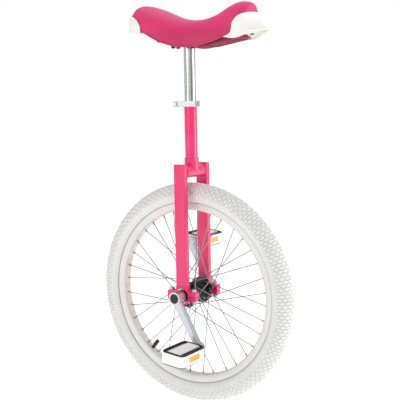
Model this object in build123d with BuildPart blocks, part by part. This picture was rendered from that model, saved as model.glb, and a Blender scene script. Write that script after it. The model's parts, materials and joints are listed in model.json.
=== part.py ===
from build123d import *
import os
from math import cos, radians, sin, sqrt

os.makedirs("parts", exist_ok=True)

# A freestyle unicycle, standing upright. Millimetres. +Z up, +X forward, +Y to the rider's left.
# The origin is on the ground, straight below the wheel axle.
# "right" pieces are on the -Y side and "left" pieces on the +Y side.

# ---------------------------------------------------------------- driving dimensions
# tyre and rim
bead_seat_r = 203.0
tyre_section_r = 24.5
tyre_foot = 2.0
tyre_wall = 3.2
tread_thickness = 4.2
bead_thickness = 3.8
rim_width = 28.0
rim_wall = 1.6
rim_flange_height = 6.0
rim_inner_r = 192.0
rim_inner_wall = 2.0
rim_well_half_width = 6.0
rim_well_depth = 3.5
tube_wall = 1.2
tube_gap = 0.8
rim_tape_thickness = 0.8

# spokes, nipples and valve
spoke_count = 36
spoke_r = 1.0
spoke_phase = 5.5
spoke_cross_angle = 60.0
spoke_elbow_r = 1.6
spoke_stand_off = 1.4
spoke_head_r = 1.75
spoke_head_thickness = 0.9
nipple_r = 2.0
nipple_length = 12.0
nipple_head_r = 2.9
nipple_head_length = 2.6
nipple_access_r = 4.5
rim_hole_offset = 2.0
valve_angle = 230.5
valve_r = 3.9
valve_cap_r = 4.8
valve_cap_length = 15.0
valve_projection = 8.5

# hub and axle
flange_y = 29.0
flange_r = 30.0
flange_thickness = 3.0
spoke_circle_r = 26.0
hub_body_r = 15.0
hub_half_length = 33.0
axle_r = 8.5
axle_square = 12.7
axle_square_length = 22.0
axle_square_taper = 1.0
relief_count = 9
relief_r = 2.2
relief_circle_r = 20.4

# bearings in the frame ends
bearing_outer_r = 17.5
bearing_width = 10.0
bearing_outer_race_r = 14.8
bearing_inner_race_r = 11.2
ball_r = 2.38
ball_count = 9
seal_thickness = 0.8

# frame
leg_y = 46.0
leg_width = 30.0
leg_depth = 16.0
leg_wall = 2.0
leg_corner_r = 4.5
leg_rise = 16.5
crown_r = 15.0
crown_wall = 2.0
tyre_clearance = 12.0
seat_tube_r = 14.3
seat_tube_length = 155.0
crown_lug_r = 16.6
crown_lug_height = 15.0
holder_r = 21.5
holder_width = 14.0
holder_neck = 22.0
holder_split = 0.8
ear_reach = 38.0
ear_top = 12.5
ear_bottom = 10.0
ear_bolt_x = 29.5
ear_bolt_r = 3.0
ear_corner_r = 3.0

# seat clamp
collar_height = 13.0
collar_wall = 3.1
collar_lip = 2.5
collar_slot = 3.0
collar_ear_x = -21.0
collar_ear_y = 12.5
skewer_r = 2.4
lever_hub_r = 8.3
lever_hub_y = 21.3
lever_pin_r = 4.0
lever_reach = 62.0
lever_blade = 3.4
lever_height = 12.0
lever_slot_height = 5.8
skewer_nut_r = 8.0
skewer_nut_length = 8.0

# seat post
post_r = 12.7
post_wall = 2.0
post_length = 225.0
post_exposed = 128.0
plate_thickness = 4.0
plate_length = 92.0
plate_width = 36.0
seat_bolt_x = 36.5
seat_bolt_y = 10.0
seat_bolt_r = 3.0

# saddle: stations from the tail to the nose, each
# (x, half width, height of the lower edge, height of the crown), heights above the seat plate
saddle_stations = [
    (-142.0, 26.0, 44.0, 66.0),
    (-136.0, 40.0, 38.0, 76.0),
    (-124.0, 51.0, 34.0, 88.0),
    (-108.0, 58.5, 31.0, 93.0),
    (-85.0, 62.0, 27.5, 87.5),
    (-50.0, 60.0, 9.0, 74.0),
    (-15.0, 51.0, -4.0, 60.0),
    (20.0, 42.5, -8.2, 53.5),
    (50.0, 38.5, -5.5, 54.0),
    (85.0, 38.0, 2.0, 63.0),
    (118.0, 41.0, 11.0, 78.0),
    (140.0, 41.5, 18.0, 84.5),
    (156.0, 36.0, 21.5, 83.0),
    (165.0, 26.0, 25.0, 77.0),
    (168.5, 15.0, 30.0, 68.0),
]
cover_thickness = 1.5
soft_gap = 0.3
base_thickness = 3.5
base_edge_inset = 3.0
bumper_thickness = 3.0
keel_half_width = 26.0
keel_wall = 2.5
keel_rib_pitch = 11.0
lip_half_width = 42.0
lip_front_x = 201.5
finger_half_width = 30.0
lip_roof = 4.0
bumper_screw_r = 2.0
front_screw_x = 150.0
rear_screw_x = -122.0
bumper_screw_y = 20.0

# cranks
crank_length = 120.0
crank_angle = 31.0
crank_boss_r = 14.5
crank_inner_y = 57.0
crank_outer_y = 82.5
crank_splay = 3.0
crank_eye_r = 11.5
crank_arm_root = 22.0
crank_arm_end = 17.0
crank_arm_thickness = 12.5
crank_arm_round = 4.0
crank_recess_r = 11.0
crank_recess_depth = 8.0
crank_bolt_r = 4.0
crank_bolt_head_r = 7.0
crank_bolt_head = 5.0
dust_cap_thickness = 2.5

# pedals
pedal_y = 142.0
pedal_length = 58.0
pedal_width = 92.0
pedal_body_height = 24.0
pedal_corner_r = 12.0
pedal_wall = 5.0
pedal_barrel_half = 14.5
pedal_barrel_height = 27.0
pedal_pitch = 7.0
tread_inset = 1.0
tread_bed = 2.0
tread_rim = 5.0
tooth_r = 2.35
tooth_height = 2.4
tooth_pitch = 5.2
comb_bar = 2.2
pedal_thread_r = 7.1
pedal_shoulder_r = 9.0
pedal_shoulder = 6.0
pedal_spindle_r = 5.5
pedal_cap_r = 8.5
pedal_cap_thickness = 2.0
pedal_nut_r = 7.0
pedal_nut = 4.0
reflector_length = 40.0
reflector_height = 13.0
reflector_depth = 2.5

# clearances
press_gap = 0.02
running_gap = 0.05
slide_gap = 0.05
part_gap = 0.3

# ---------------------------------------------------------------- derived places
tyre_outer_r = bead_seat_r + 2 * tyre_section_r + tyre_foot
hub_z = tyre_outer_r
hub_axis = Axis((0, 0, hub_z), (0, 1, 0))
# The section plane holds the axle: its x is world Y and its y is the radius, straight up.
section_plane = Plane(origin=(0, 0, hub_z), x_dir=(0, 1, 0), z_dir=(1, 0, 0))
# The wheel plane faces the rider's right: its x is forward, its y is up, its z is -Y.
wheel_plane = Plane(origin=(0, 0, hub_z), x_dir=(1, 0, 0), z_dir=(0, -1, 0))
crown_z = 2 * tyre_outer_r + tyre_clearance + crown_r
leg_top_z = crown_z + leg_rise
seat_tube_top_z = crown_z + seat_tube_length
plate_z = seat_tube_top_z + post_exposed
post_bottom_z = plate_z - post_length
collar_z = seat_tube_top_z + collar_lip - collar_height
collar_r = seat_tube_r + collar_wall
ball_circle_r = (bearing_inner_race_r + bearing_outer_race_r) / 2
rim_flange_r = bead_seat_r + rim_flange_height
sides = {"right": -1, "left": 1}


def save(piece, label):
    """Names a finished piece and writes its STEP file."""
    piece.part.label = label
    export_step(piece.part, f"parts/{label}.step")


def mirrored(outline):
    """A half outline on the +x side, closed by its own mirror image about x = 0."""
    return outline + [(-x, y) for x, y in reversed(outline)]


def ring(outer_r, inner_r, width, y):
    """A plain ring about the axle, centred at y."""
    with BuildPart() as piece:
        with BuildSketch(Plane(origin=(0, y, hub_z), z_dir=(0, 1, 0))):
            Circle(outer_r)
            Circle(inner_r, mode=Mode.SUBTRACT)
        extrude(amount=width / 2, both=True)
    return piece


# ---------------------------------------------------------------- tyre, tube and rim tape
section_r = tyre_outer_r - tyre_section_r
flank_y = rim_width / 2 + 1.0
flank_r = section_r - sqrt(tyre_section_r**2 - flank_y**2)
bead_outer_y = rim_width / 2 - rim_wall - 0.2
bead_inner_y = bead_outer_y - bead_thickness
casing_r = tyre_section_r - tyre_wall
casing_centre_r = tyre_outer_r - tread_thickness - casing_r
casing_foot_y = bead_inner_y + 2.0
casing_foot_r = casing_centre_r - sqrt(casing_r**2 - casing_foot_y**2)
bead_toe_r = bead_seat_r + 0.3
flange_clear_r = rim_flange_r + 0.4

with BuildPart() as tyre:
    with BuildSketch(section_plane):
        with BuildLine():
            Polyline((flank_y, flank_r), (bead_outer_y, flange_clear_r), (bead_outer_y, bead_toe_r),
                     (bead_inner_y, bead_toe_r), (bead_inner_y, bead_toe_r + 3.0),
                     (casing_foot_y, casing_foot_r))
            ThreePointArc((casing_foot_y, casing_foot_r), (0, casing_centre_r + casing_r),
                          (-casing_foot_y, casing_foot_r))
            Polyline((-casing_foot_y, casing_foot_r), (-bead_inner_y, bead_toe_r + 3.0),
                     (-bead_inner_y, bead_toe_r), (-bead_outer_y, bead_toe_r),
                     (-bead_outer_y, flange_clear_r), (-flank_y, flank_r))
            ThreePointArc((-flank_y, flank_r), (0, tyre_outer_r), (flank_y, flank_r))
        make_face()
    revolve(axis=hub_axis)
save(tyre, "tyre")

inner_tube_r = casing_r - tube_gap
with BuildPart() as inner_tube:
    with BuildSketch(section_plane):
        with Locations((0, casing_centre_r)):
            Circle(inner_tube_r)
            Circle(inner_tube_r - tube_wall, mode=Mode.SUBTRACT)
    revolve(axis=hub_axis)
save(inner_tube, "inner_tube")

well_r = bead_seat_r - rim_well_depth
valve_hole_r = valve_r + part_gap
valve_plane = Plane(wheel_plane.origin, x_dir=wheel_plane.z_dir,
                    z_dir=wheel_plane.from_local_coords(
                        Vector(cos(radians(valve_angle)), sin(radians(valve_angle)), 0))
                    - wheel_plane.origin)

with BuildPart() as rim_tape:
    with BuildSketch(section_plane):
        with Locations((0, well_r + rim_tape_thickness / 2 + press_gap)):
            Rectangle(2 * rim_well_half_width - 1.0, rim_tape_thickness)
    revolve(axis=hub_axis)
    with BuildSketch(valve_plane):
        Circle(valve_hole_r)
    extrude(amount=tyre_outer_r, mode=Mode.SUBTRACT)
save(rim_tape, "rim_tape")

# ---------------------------------------------------------------- spoke lines
# Each spoke starts in its flange hole, bends at the elbow and runs to a rim hole that lies
# spoke_cross_angle further round. Heads alternate between the two faces of the flange.
per_side = spoke_count // 2
spoke_pitch = 360.0 / spoke_count
elbow_offset = flange_thickness / 2 + spoke_r + spoke_stand_off
head_offset = flange_thickness / 2 + spoke_head_thickness


def spoke_points(side_z, outward, turn):
    """Head, elbow and rim points in the wheel plane, for a rim hole at angle zero."""
    face = 1 if outward else -1
    angle = radians(-turn * spoke_cross_angle)
    x, y = spoke_circle_r * cos(angle), spoke_circle_r * sin(angle)
    head = Vector(x, y, side_z * (flange_y - face * head_offset))
    elbow = Vector(x, y, side_z * (flange_y + face * elbow_offset))
    rim_hole = Vector(rim_inner_r + rim_inner_wall, 0, side_z * rim_hole_offset)
    return head, elbow, rim_hole


def spoke_shape(head, elbow, rim_hole):
    """A wire spoke with its J bend and flat head, ending inside its nipple."""
    run = (rim_hole - elbow).normalized()
    end = rim_hole - run * (rim_inner_wall + 1.0)
    with BuildPart() as spoke:
        with BuildLine() as path:
            FilletPolyline(head, elbow, end, radius=spoke_elbow_r)
        with BuildSketch(Plane(origin=head, z_dir=(elbow - head).normalized())):
            Circle(spoke_r)
        sweep(path=path.line)
        with BuildSketch(Plane(origin=head, z_dir=(elbow - head).normalized())):
            Circle(spoke_head_r)
        extrude(amount=spoke_head_thickness - 0.05)
    return spoke


def nipple_plane(head, elbow, rim_hole):
    """The plane on the outer face of the rim's inner wall, facing outwards along the spoke."""
    return Plane(origin=rim_hole, z_dir=(rim_hole - elbow).normalized())


def nipple_shape(plane):
    """A nipple: its barrel points to the hub and its head stands on the rim's inner wall."""
    barrel = nipple_length - nipple_head_length
    with BuildPart() as nipple:
        with BuildSketch(plane.offset(-barrel)):
            Circle(nipple_r)
        extrude(amount=barrel)
        with BuildSketch(plane):
            Circle(nipple_head_r)
        extrude(amount=nipple_head_length)
        with BuildSketch(plane.offset(-barrel)):
            Circle(spoke_r + running_gap)
        extrude(amount=nipple_length - 1.5, mode=Mode.SUBTRACT)
    return nipple


def nipple_seat(plane):
    """What the rim loses for one nipple: its hole, its spot face and the hole to reach it."""
    with BuildPart() as seat:
        with BuildSketch(plane.offset(-2 * rim_inner_wall)):
            Circle(nipple_r + 0.15)
        extrude(amount=2 * rim_inner_wall)
        with BuildSketch(plane):
            Circle(nipple_head_r + 0.2)
        extrude(amount=nipple_head_length + 0.2)
        with BuildSketch(plane.offset(nipple_head_length)):
            Circle(nipple_access_r)
        extrude(amount=rim_well_depth + 2.0)
    return seat


# Four kinds of spoke: right or left flange, elbow outside or inside. Each kind fills a
# quarter of the rim holes. Start angles are those of the first rim hole of the kind.
spoke_kinds = []
for side_name, side_z in (("right", 1), ("left", -1)):
    first = spoke_phase if side_name == "right" else spoke_phase + spoke_pitch
    spoke_kinds.append((side_name, spoke_points(side_z, True, 1), first))
    spoke_kinds.append((side_name, spoke_points(side_z, False, -1), first + 2 * spoke_pitch))

for side_name in sides:
    kinds = [(spoke_shape(*points), first) for name, points, first in spoke_kinds
             if name == side_name]
    with BuildPart(wheel_plane) as spokes:
        for spoke, first in kinds:
            with PolarLocations(0, spoke_count // 4, start_angle=first):
                add(spoke.part)
    save(spokes, f"{side_name}_spokes")

nipple_kinds = [(nipple_shape(nipple_plane(*points)), nipple_seat(nipple_plane(*points)), first)
                for _, points, first in spoke_kinds]
with BuildPart(wheel_plane) as nipples:
    for nipple, _, first in nipple_kinds:
        with PolarLocations(0, spoke_count // 4, start_angle=first):
            add(nipple.part)
save(nipples, "spoke_nipples")

# ---------------------------------------------------------------- rim
half_rim = rim_width / 2
shelf_y = rim_well_half_width + 1.5
chamber_r = rim_inner_r + rim_inner_wall
rim_outline = mirrored([
    (8.5, rim_inner_r), (10.5, rim_inner_r + 0.8), (half_rim - 0.8, rim_inner_r + 6.0),
    (half_rim, rim_inner_r + 10.0), (half_rim, rim_flange_r), (half_rim - rim_wall, rim_flange_r),
    (half_rim - rim_wall, bead_seat_r), (shelf_y, bead_seat_r), (rim_well_half_width, well_r)])
chamber_outline = mirrored([
    (8.0, chamber_r), (half_rim - 3.2, chamber_r + 3.6), (half_rim - 2.0, bead_seat_r - rim_wall),
    (shelf_y - 0.4, bead_seat_r - rim_wall), (rim_well_half_width - 0.8, well_r - rim_wall)])

with BuildPart(wheel_plane) as rim:
    with BuildSketch(section_plane):
        Polygon(*rim_outline, align=None)
        Polygon(*chamber_outline, align=None, mode=Mode.SUBTRACT)
    revolve(axis=hub_axis)
    for _, seat, first in nipple_kinds:
        with PolarLocations(0, spoke_count // 4, start_angle=first):
            add(seat.part, mode=Mode.SUBTRACT)
    with BuildSketch(valve_plane):
        Circle(valve_hole_r)
    extrude(amount=tyre_outer_r, mode=Mode.SUBTRACT)
save(rim, "rim")

# ---------------------------------------------------------------- valve
tube_inner_r = casing_centre_r - inner_tube_r
valve_tip_r = rim_inner_r - valve_projection - valve_cap_length
with BuildPart() as valve_stem:
    with BuildSketch(valve_plane.offset(valve_tip_r + 2.0)):
        Circle(valve_r - 1.0)
    extrude(amount=valve_cap_length - 2.0)
    with BuildSketch(valve_plane.offset(rim_inner_r - valve_projection)):
        Circle(valve_r)
    extrude(amount=tube_inner_r - 0.2 - rim_inner_r + valve_projection)
save(valve_stem, "valve_stem")

with BuildPart() as valve_cap:
    with BuildSketch(valve_plane.offset(valve_tip_r)):
        Circle(valve_cap_r)
    extrude(amount=valve_cap_length - 0.2)
    chamfer(valve_cap.edges().filter_by(GeomType.CIRCLE), 0.8)
    with BuildSketch(valve_plane.offset(valve_tip_r + 1.8)):
        Circle(valve_r - 1.0 + running_gap)
    extrude(amount=valve_cap_length, mode=Mode.SUBTRACT)
save(valve_cap, "valve_cap")

# ---------------------------------------------------------------- hub, axle and bearings
flange_in = flange_y - flange_thickness / 2
flange_out = flange_y + flange_thickness / 2
flange_seat_r = hub_body_r + 1.0
with BuildPart(wheel_plane) as hub_barrel:
    with BuildSketch(section_plane):
        Polygon(*mirrored([
            (hub_half_length, axle_r + press_gap), (hub_half_length, hub_body_r - 2.0),
            (flange_out, hub_body_r - 1.0), (flange_out, flange_seat_r), (flange_in - 4.0, flange_seat_r),
            (flange_in - 8.0, hub_body_r - 2.0)]), align=None)
    revolve(axis=hub_axis)
save(hub_barrel, "hub_barrel")

with BuildPart(wheel_plane) as hub_flanges:
    with Locations((0, 0, flange_y), (0, 0, -flange_y)):
        Cylinder(flange_r, flange_thickness)
    chamfer(hub_flanges.edges().filter_by(GeomType.CIRCLE), 0.6)
    Cylinder(flange_seat_r + press_gap, 3 * flange_y, mode=Mode.SUBTRACT)
    for side_name, side_z in (("right", 1), ("left", -1)):
        first = spoke_phase if side_name == "right" else spoke_phase + spoke_pitch
        with Locations((0, 0, side_z * flange_y)):
            with PolarLocations(spoke_circle_r, per_side, start_angle=first):
                Cylinder(spoke_r + 0.15, 2 * flange_thickness, mode=Mode.SUBTRACT)
            with PolarLocations(relief_circle_r, relief_count, start_angle=first):
                Cylinder(relief_r, flange_thickness + 1.0, mode=Mode.SUBTRACT)
save(hub_flanges, "hub_flanges")

bearing_in = leg_y - bearing_width / 2
bearing_out = leg_y + bearing_width / 2
crank_bolt_depth = 20.0
with BuildPart() as axle:
    with BuildSketch(Plane(origin=(0, 0, hub_z), z_dir=(0, 1, 0))):
        Circle(axle_r)
    extrude(amount=bearing_out + 1.0, both=True)
    for side_y in (-1, 1):
        square_plane = Plane(origin=(0, side_y * (bearing_out + 1.0), hub_z),
                             x_dir=(1, 0, 0), z_dir=(0, side_y, 0))
        with BuildSketch(square_plane):
            Rectangle(axle_square, axle_square)
        extrude(amount=axle_square_length, taper=axle_square_taper)
        with BuildSketch(square_plane.offset(axle_square_length - crank_bolt_depth)):
            Circle(crank_bolt_r + running_gap)
        extrude(amount=crank_bolt_depth, mode=Mode.SUBTRACT)
save(axle, "axle")

with BuildPart() as axle_spacers:
    for side_y in (-1, 1):
        spacer = ring(bearing_inner_race_r - 0.4, axle_r + press_gap,
                      bearing_in - hub_half_length - 2 * press_gap,
                      side_y * (bearing_in + hub_half_length) / 2)
        add(spacer.part)
save(axle_spacers, "axle_spacers")

groove_r = ball_r + 0.06


def race(outer_r, inner_r, y):
    """A bearing ring with its ball groove."""
    with BuildPart() as piece:
        add(ring(outer_r, inner_r, bearing_width, y).part)
        with BuildSketch(section_plane):
            with Locations((y, ball_circle_r)):
                Circle(groove_r)
        revolve(axis=hub_axis, mode=Mode.SUBTRACT)
    return piece


race_pairs = {"bearing_outer_rings": (bearing_outer_r, bearing_outer_race_r),
              "bearing_inner_rings": (bearing_inner_race_r, axle_r + press_gap)}
for label, (outer_r, inner_r) in race_pairs.items():
    both_races = [race(outer_r, inner_r, side_y * leg_y) for side_y in (-1, 1)]
    with BuildPart() as races:
        add(both_races[0].part)
        add(both_races[1].part)
    save(races, label)

seal_in = [ring(bearing_outer_race_r - press_gap, bearing_inner_race_r + part_gap, seal_thickness,
                side_y * (leg_y + face * (bearing_width - seal_thickness) / 2))
           for side_y in (-1, 1) for face in (-1, 1)]
with BuildPart() as bearing_seals:
    for seal in seal_in:
        add(seal.part)
save(bearing_seals, "bearing_seals")

for side_name, side_y in sides.items():
    with BuildPart(Plane(wheel_plane.origin + Vector(0, side_y * leg_y, 0),
                         x_dir=(1, 0, 0), z_dir=(0, -1, 0))) as balls:
        with PolarLocations(ball_circle_r, ball_count):
            Sphere(ball_r)
    save(balls, f"{side_name}_bearing_balls")

# ---------------------------------------------------------------- frame
frame_cut = Plane.XY.offset(hub_z)
neck_top = hub_z + holder_neck
for side_name, side_y in sides.items():
    centre_y = side_y * leg_y
    holder_plane = Plane(origin=(0, centre_y, hub_z), x_dir=(1, 0, 0), z_dir=(0, -1, 0))

    with BuildPart() as leg:
        with BuildSketch(Plane.XY.offset(neck_top)):
            with Locations((0, centre_y)):
                RectangleRounded(leg_width, leg_depth, leg_corner_r)
        extrude(amount=leg_top_z - neck_top)
        fillet(leg.faces().sort_by(Axis.Z)[-1].edges(), 0.8)
        with BuildSketch(Plane.XY.offset(neck_top)):
            with Locations((0, centre_y)):
                RectangleRounded(leg_width - 2 * leg_wall, leg_depth - 2 * leg_wall,
                                 leg_corner_r - leg_wall)
        extrude(amount=leg_top_z - leg_wall - neck_top, mode=Mode.SUBTRACT)
    save(leg, f"{side_name}_leg")

    # The clamp ring is split at axle height: the upper half is welded to the leg.
    with BuildPart() as clamp_ring:
        with BuildSketch(holder_plane):
            Circle(holder_r)
            with Locations((0, (ear_top - ear_bottom) / 2)):
                RectangleRounded(2 * ear_reach, ear_top + ear_bottom, ear_corner_r)
            with Locations((0, holder_neck / 2)):
                Rectangle(leg_width, holder_neck)
            Circle(bearing_outer_r + press_gap, mode=Mode.SUBTRACT)
        extrude(amount=holder_width / 2, both=True)
        with Locations((ear_bolt_x, centre_y, hub_z), (-ear_bolt_x, centre_y, hub_z)):
            Cylinder(ear_bolt_r + 0.2, 4 * ear_top, mode=Mode.SUBTRACT)

    with BuildPart() as bearing_holder:
        add(clamp_ring.part)
        split(bisect_by=frame_cut.offset(holder_split / 2), keep=Keep.TOP)
    save(bearing_holder, f"{side_name}_bearing_holder")

    with BuildPart() as bearing_cap:
        add(clamp_ring.part)
        split(bisect_by=frame_cut.offset(-holder_split / 2), keep=Keep.BOTTOM)
    save(bearing_cap, f"{side_name}_bearing_cap")

# Clamp bolts hang down through both ears, with a washer under each head and each nut.
bolt_places = [(x, side_y * leg_y) for x in (-ear_bolt_x, ear_bolt_x) for side_y in (-1, 1)]
ear_washer_r = 6.2
ear_washer = 1.2
ear_head_r = 5.6
ear_head = 4.0
ear_nut = 5.0
ear_top_z = hub_z + ear_top
ear_bottom_z = hub_z - ear_bottom

with BuildPart() as ear_bolts:
    with Locations(*[(x, y, ear_top_z + ear_washer) for x, y in bolt_places]):
        Cylinder(ear_head_r, ear_head, align=(Align.CENTER, Align.CENTER, Align.MIN))
    with BuildSketch(Plane.XY.offset(ear_top_z + ear_washer)):
        with Locations(*bolt_places):
            Circle(ear_bolt_r)
    extrude(amount=-(ear_top + ear_bottom + 2 * ear_washer + ear_nut + 2.0))
    with BuildSketch(Plane.XY.offset(ear_top_z + ear_washer + ear_head)):
        with Locations(*bolt_places):
            RegularPolygon(ear_bolt_r - 0.4, 6)
    extrude(amount=-2.2, mode=Mode.SUBTRACT)
save(ear_bolts, "clamp_bolts")

with BuildPart() as ear_washers:
    for height in (ear_top_z, ear_bottom_z - ear_washer):
        with BuildSketch(Plane.XY.offset(height)):
            with Locations(*bolt_places):
                Circle(ear_washer_r)
                Circle(ear_bolt_r + 0.1, mode=Mode.SUBTRACT)
        extrude(amount=ear_washer)
save(ear_washers, "clamp_washers")

with BuildPart() as ear_nuts:
    with BuildSketch(Plane.XY.offset(ear_bottom_z - ear_washer)):
        with Locations(*bolt_places):
            RegularPolygon(ear_head_r, 6)
            Circle(ear_bolt_r + running_gap, mode=Mode.SUBTRACT)
    extrude(amount=-ear_nut)
save(ear_nuts, "clamp_nuts")

crown_half = leg_y - leg_depth / 2 - running_gap
with BuildPart() as crown_tube:
    with BuildSketch(Plane(origin=(0, 0, crown_z), z_dir=(0, 1, 0))):
        Circle(crown_r)
        Circle(crown_r - crown_wall, mode=Mode.SUBTRACT)
    extrude(amount=crown_half, both=True)
save(crown_tube, "crown_tube")

tube_slot = 2.5
tube_slot_depth = 26.0
with BuildPart() as seat_tube:
    with BuildSketch(Plane.XY.offset(crown_z)):
        Circle(seat_tube_r)
        Circle(post_r + slide_gap, mode=Mode.SUBTRACT)
    extrude(amount=seat_tube_length)
    with BuildSketch(Plane(origin=(0, 0, crown_z), z_dir=(0, 1, 0))):
        Circle(crown_r + running_gap)
    extrude(amount=2 * seat_tube_r, both=True, mode=Mode.SUBTRACT)
    with Locations((-seat_tube_r, 0, seat_tube_top_z)):
        Box(seat_tube_r, tube_slot, 2 * tube_slot_depth, mode=Mode.SUBTRACT)
save(seat_tube, "seat_tube")

with BuildPart() as crown_lug:
    with BuildSketch(Plane.XY.offset(crown_z)):
        Circle(crown_lug_r)
    extrude(amount=crown_r + crown_lug_height)
    chamfer(crown_lug.faces().sort_by(Axis.Z)[-1].edges(), 1.5)
    with BuildSketch(Plane.XY.offset(crown_z)):
        Circle(seat_tube_r + running_gap)
    extrude(amount=2 * crown_r + crown_lug_height, mode=Mode.SUBTRACT)
    with BuildSketch(Plane(origin=(0, 0, crown_z), z_dir=(0, 1, 0))):
        Circle(crown_r + running_gap)
    extrude(amount=2 * crown_lug_r, both=True, mode=Mode.SUBTRACT)
save(crown_lug, "crown_lug")

# ---------------------------------------------------------------- seat clamp
collar_mid_z = collar_z + collar_height / 2
with BuildPart() as seat_clamp_collar:
    with BuildSketch(Plane.XY.offset(collar_z)):
        Circle(collar_r)
        with Locations((collar_ear_x, 0)):
            RectangleRounded(14.0, 2 * collar_ear_y, 3.0)
        with Locations((collar_ear_x / 2, 0)):
            Rectangle(-collar_ear_x, 14.0)
    extrude(amount=collar_height)
    with BuildSketch(Plane.XY.offset(collar_z)):
        Circle(seat_tube_r + running_gap)
    extrude(amount=collar_height - collar_lip, mode=Mode.SUBTRACT)
    with BuildSketch(Plane.XY.offset(collar_z)):
        Circle(post_r + part_gap)
        with Locations((2 * collar_ear_x, 0)):
            Rectangle(-4 * collar_ear_x, collar_slot)
    extrude(amount=collar_height, mode=Mode.SUBTRACT)
    with Locations((collar_ear_x, 0, collar_mid_z)):
        Cylinder(skewer_r + 0.1, 6 * collar_ear_y, rotation=(90, 0, 0), mode=Mode.SUBTRACT)
save(seat_clamp_collar, "seat_clamp_collar")

skewer_end_y = collar_ear_y + skewer_nut_length + 1.5
with BuildPart() as clamp_skewer:
    with BuildSketch(Plane(origin=(collar_ear_x, -lever_hub_y - 2.5, collar_mid_z),
                           z_dir=(0, 1, 0))):
        Circle(skewer_r)
    extrude(amount=skewer_end_y + lever_hub_y + 2.5)
save(clamp_skewer, "clamp_skewer")

with BuildPart() as skewer_nut:
    with BuildSketch(Plane(origin=(collar_ear_x, collar_ear_y + 0.1, collar_mid_z),
                           z_dir=(0, 1, 0))):
        Circle(skewer_nut_r)
    extrude(amount=skewer_nut_length)
    with Locations(Plane(origin=(collar_ear_x, collar_ear_y + skewer_nut_length, collar_mid_z),
                         z_dir=(0, 1, 0))):
        with PolarLocations(skewer_nut_r + 0.8, 12):
            Cylinder(1.5, 3 * skewer_nut_length, mode=Mode.SUBTRACT)
    with BuildSketch(Plane(origin=(collar_ear_x, 0, collar_mid_z), z_dir=(0, 1, 0))):
        Circle(skewer_r + running_gap)
    extrude(amount=3 * skewer_nut_length, mode=Mode.SUBTRACT)
save(skewer_nut, "skewer_nut")

lever_base_z = collar_mid_z - lever_height / 2
pivot = (collar_ear_x, -lever_hub_y)
with BuildPart() as lever_pin:
    with BuildSketch(Plane.XY.offset(lever_base_z)):
        with Locations(pivot):
            Circle(lever_pin_r)
    extrude(amount=lever_height)
    with Locations((*pivot, collar_mid_z)):
        Cylinder(skewer_r + running_gap, 4 * lever_pin_r, rotation=(90, 0, 0),
                 mode=Mode.SUBTRACT)
save(lever_pin, "lever_pin")

# The lever's blade follows the near side of the collar and ends in a thumb tip that flares out.
blade_y = -lever_hub_y - 1.0
lever_tip_x = collar_ear_x + lever_reach
with BuildPart() as quick_release_lever:
    with BuildSketch(Plane.XY.offset(lever_base_z)):
        with Locations(pivot):
            Circle(lever_hub_r)
        with BuildLine():
            Polyline((collar_ear_x, blade_y + lever_blade), (10.0, blade_y + lever_blade))
            Spline((10.0, blade_y + lever_blade), (28.0, blade_y + lever_blade - 1.0),
                   (lever_tip_x, blade_y + lever_blade - 5.0), tangents=[(1, 0), (1, -0.4)])
            Polyline((lever_tip_x, blade_y + lever_blade - 5.0), (lever_tip_x, blade_y - 5.5),
                     (28.0, blade_y - 1.8), (collar_ear_x, -lever_hub_y - lever_hub_r + 1.5),
                     (collar_ear_x, blade_y + lever_blade))
        make_face()
    extrude(amount=lever_height)
    with BuildSketch(Plane.XY.offset(lever_base_z)):
        with Locations(pivot):
            Circle(lever_pin_r + running_gap)
    extrude(amount=lever_height, mode=Mode.SUBTRACT)
    with Locations((collar_ear_x - lever_hub_r + skewer_r + part_gap, -lever_hub_y, collar_mid_z)):
        Box(2 * lever_hub_r, 4 * lever_hub_r, lever_slot_height, mode=Mode.SUBTRACT)
save(quick_release_lever, "quick_release_lever")

# ---------------------------------------------------------------- seat post
with BuildPart() as seat_post:
    with BuildSketch(Plane.XY.offset(post_bottom_z)):
        Circle(post_r)
        Circle(post_r - post_wall, mode=Mode.SUBTRACT)
    extrude(amount=post_length)
save(seat_post, "seat_post")

seat_bolt_places = [(x, y) for x in (-seat_bolt_x, seat_bolt_x)
                    for y in (-seat_bolt_y, seat_bolt_y)]
with BuildPart() as seat_plate:
    with BuildSketch(Plane.XY.offset(plate_z)):
        RectangleRounded(plate_length, plate_width, 5.0)
        with Locations(*seat_bolt_places):
            Circle(seat_bolt_r + 0.2, mode=Mode.SUBTRACT)
    extrude(amount=plate_thickness)
save(seat_plate, "seat_plate")

base_z = plate_z + plate_thickness
seat_nut = 5.0
seat_nut_r = 5.6
seat_flange = 1.0
nut_flange = 0.8
seat_head = 2.5
with BuildPart() as saddle_bolts:
    with BuildSketch(Plane.XY.offset(base_z + base_thickness)):
        with Locations(*seat_bolt_places):
            Circle(seat_nut_r)
    extrude(amount=seat_head)
    with BuildSketch(Plane.XY.offset(base_z + base_thickness)):
        with Locations(*seat_bolt_places):
            Circle(seat_bolt_r)
    extrude(amount=-(base_thickness + plate_thickness + seat_flange + seat_nut + 1.5))
save(saddle_bolts, "saddle_bolts")

# Flanged nuts: the flange presses on the seat plate from below, the hexagon is under it.
with BuildPart() as saddle_nuts:
    with BuildSketch(Plane.XY.offset(plate_z)):
        with Locations(*seat_bolt_places):
            Circle(seat_nut_r + nut_flange)
            Circle(seat_bolt_r + running_gap, mode=Mode.SUBTRACT)
    extrude(amount=-seat_flange)
    with BuildSketch(Plane.XY.offset(plate_z - seat_flange)):
        with Locations(*seat_bolt_places):
            RegularPolygon(seat_nut_r, 6)
            Circle(seat_bolt_r + running_gap, mode=Mode.SUBTRACT)
    extrude(amount=-seat_nut)
save(saddle_nuts, "saddle_nuts")

# ---------------------------------------------------------------- saddle
rear_x = saddle_stations[0][0]
front_x = saddle_stations[-1][0]


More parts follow.
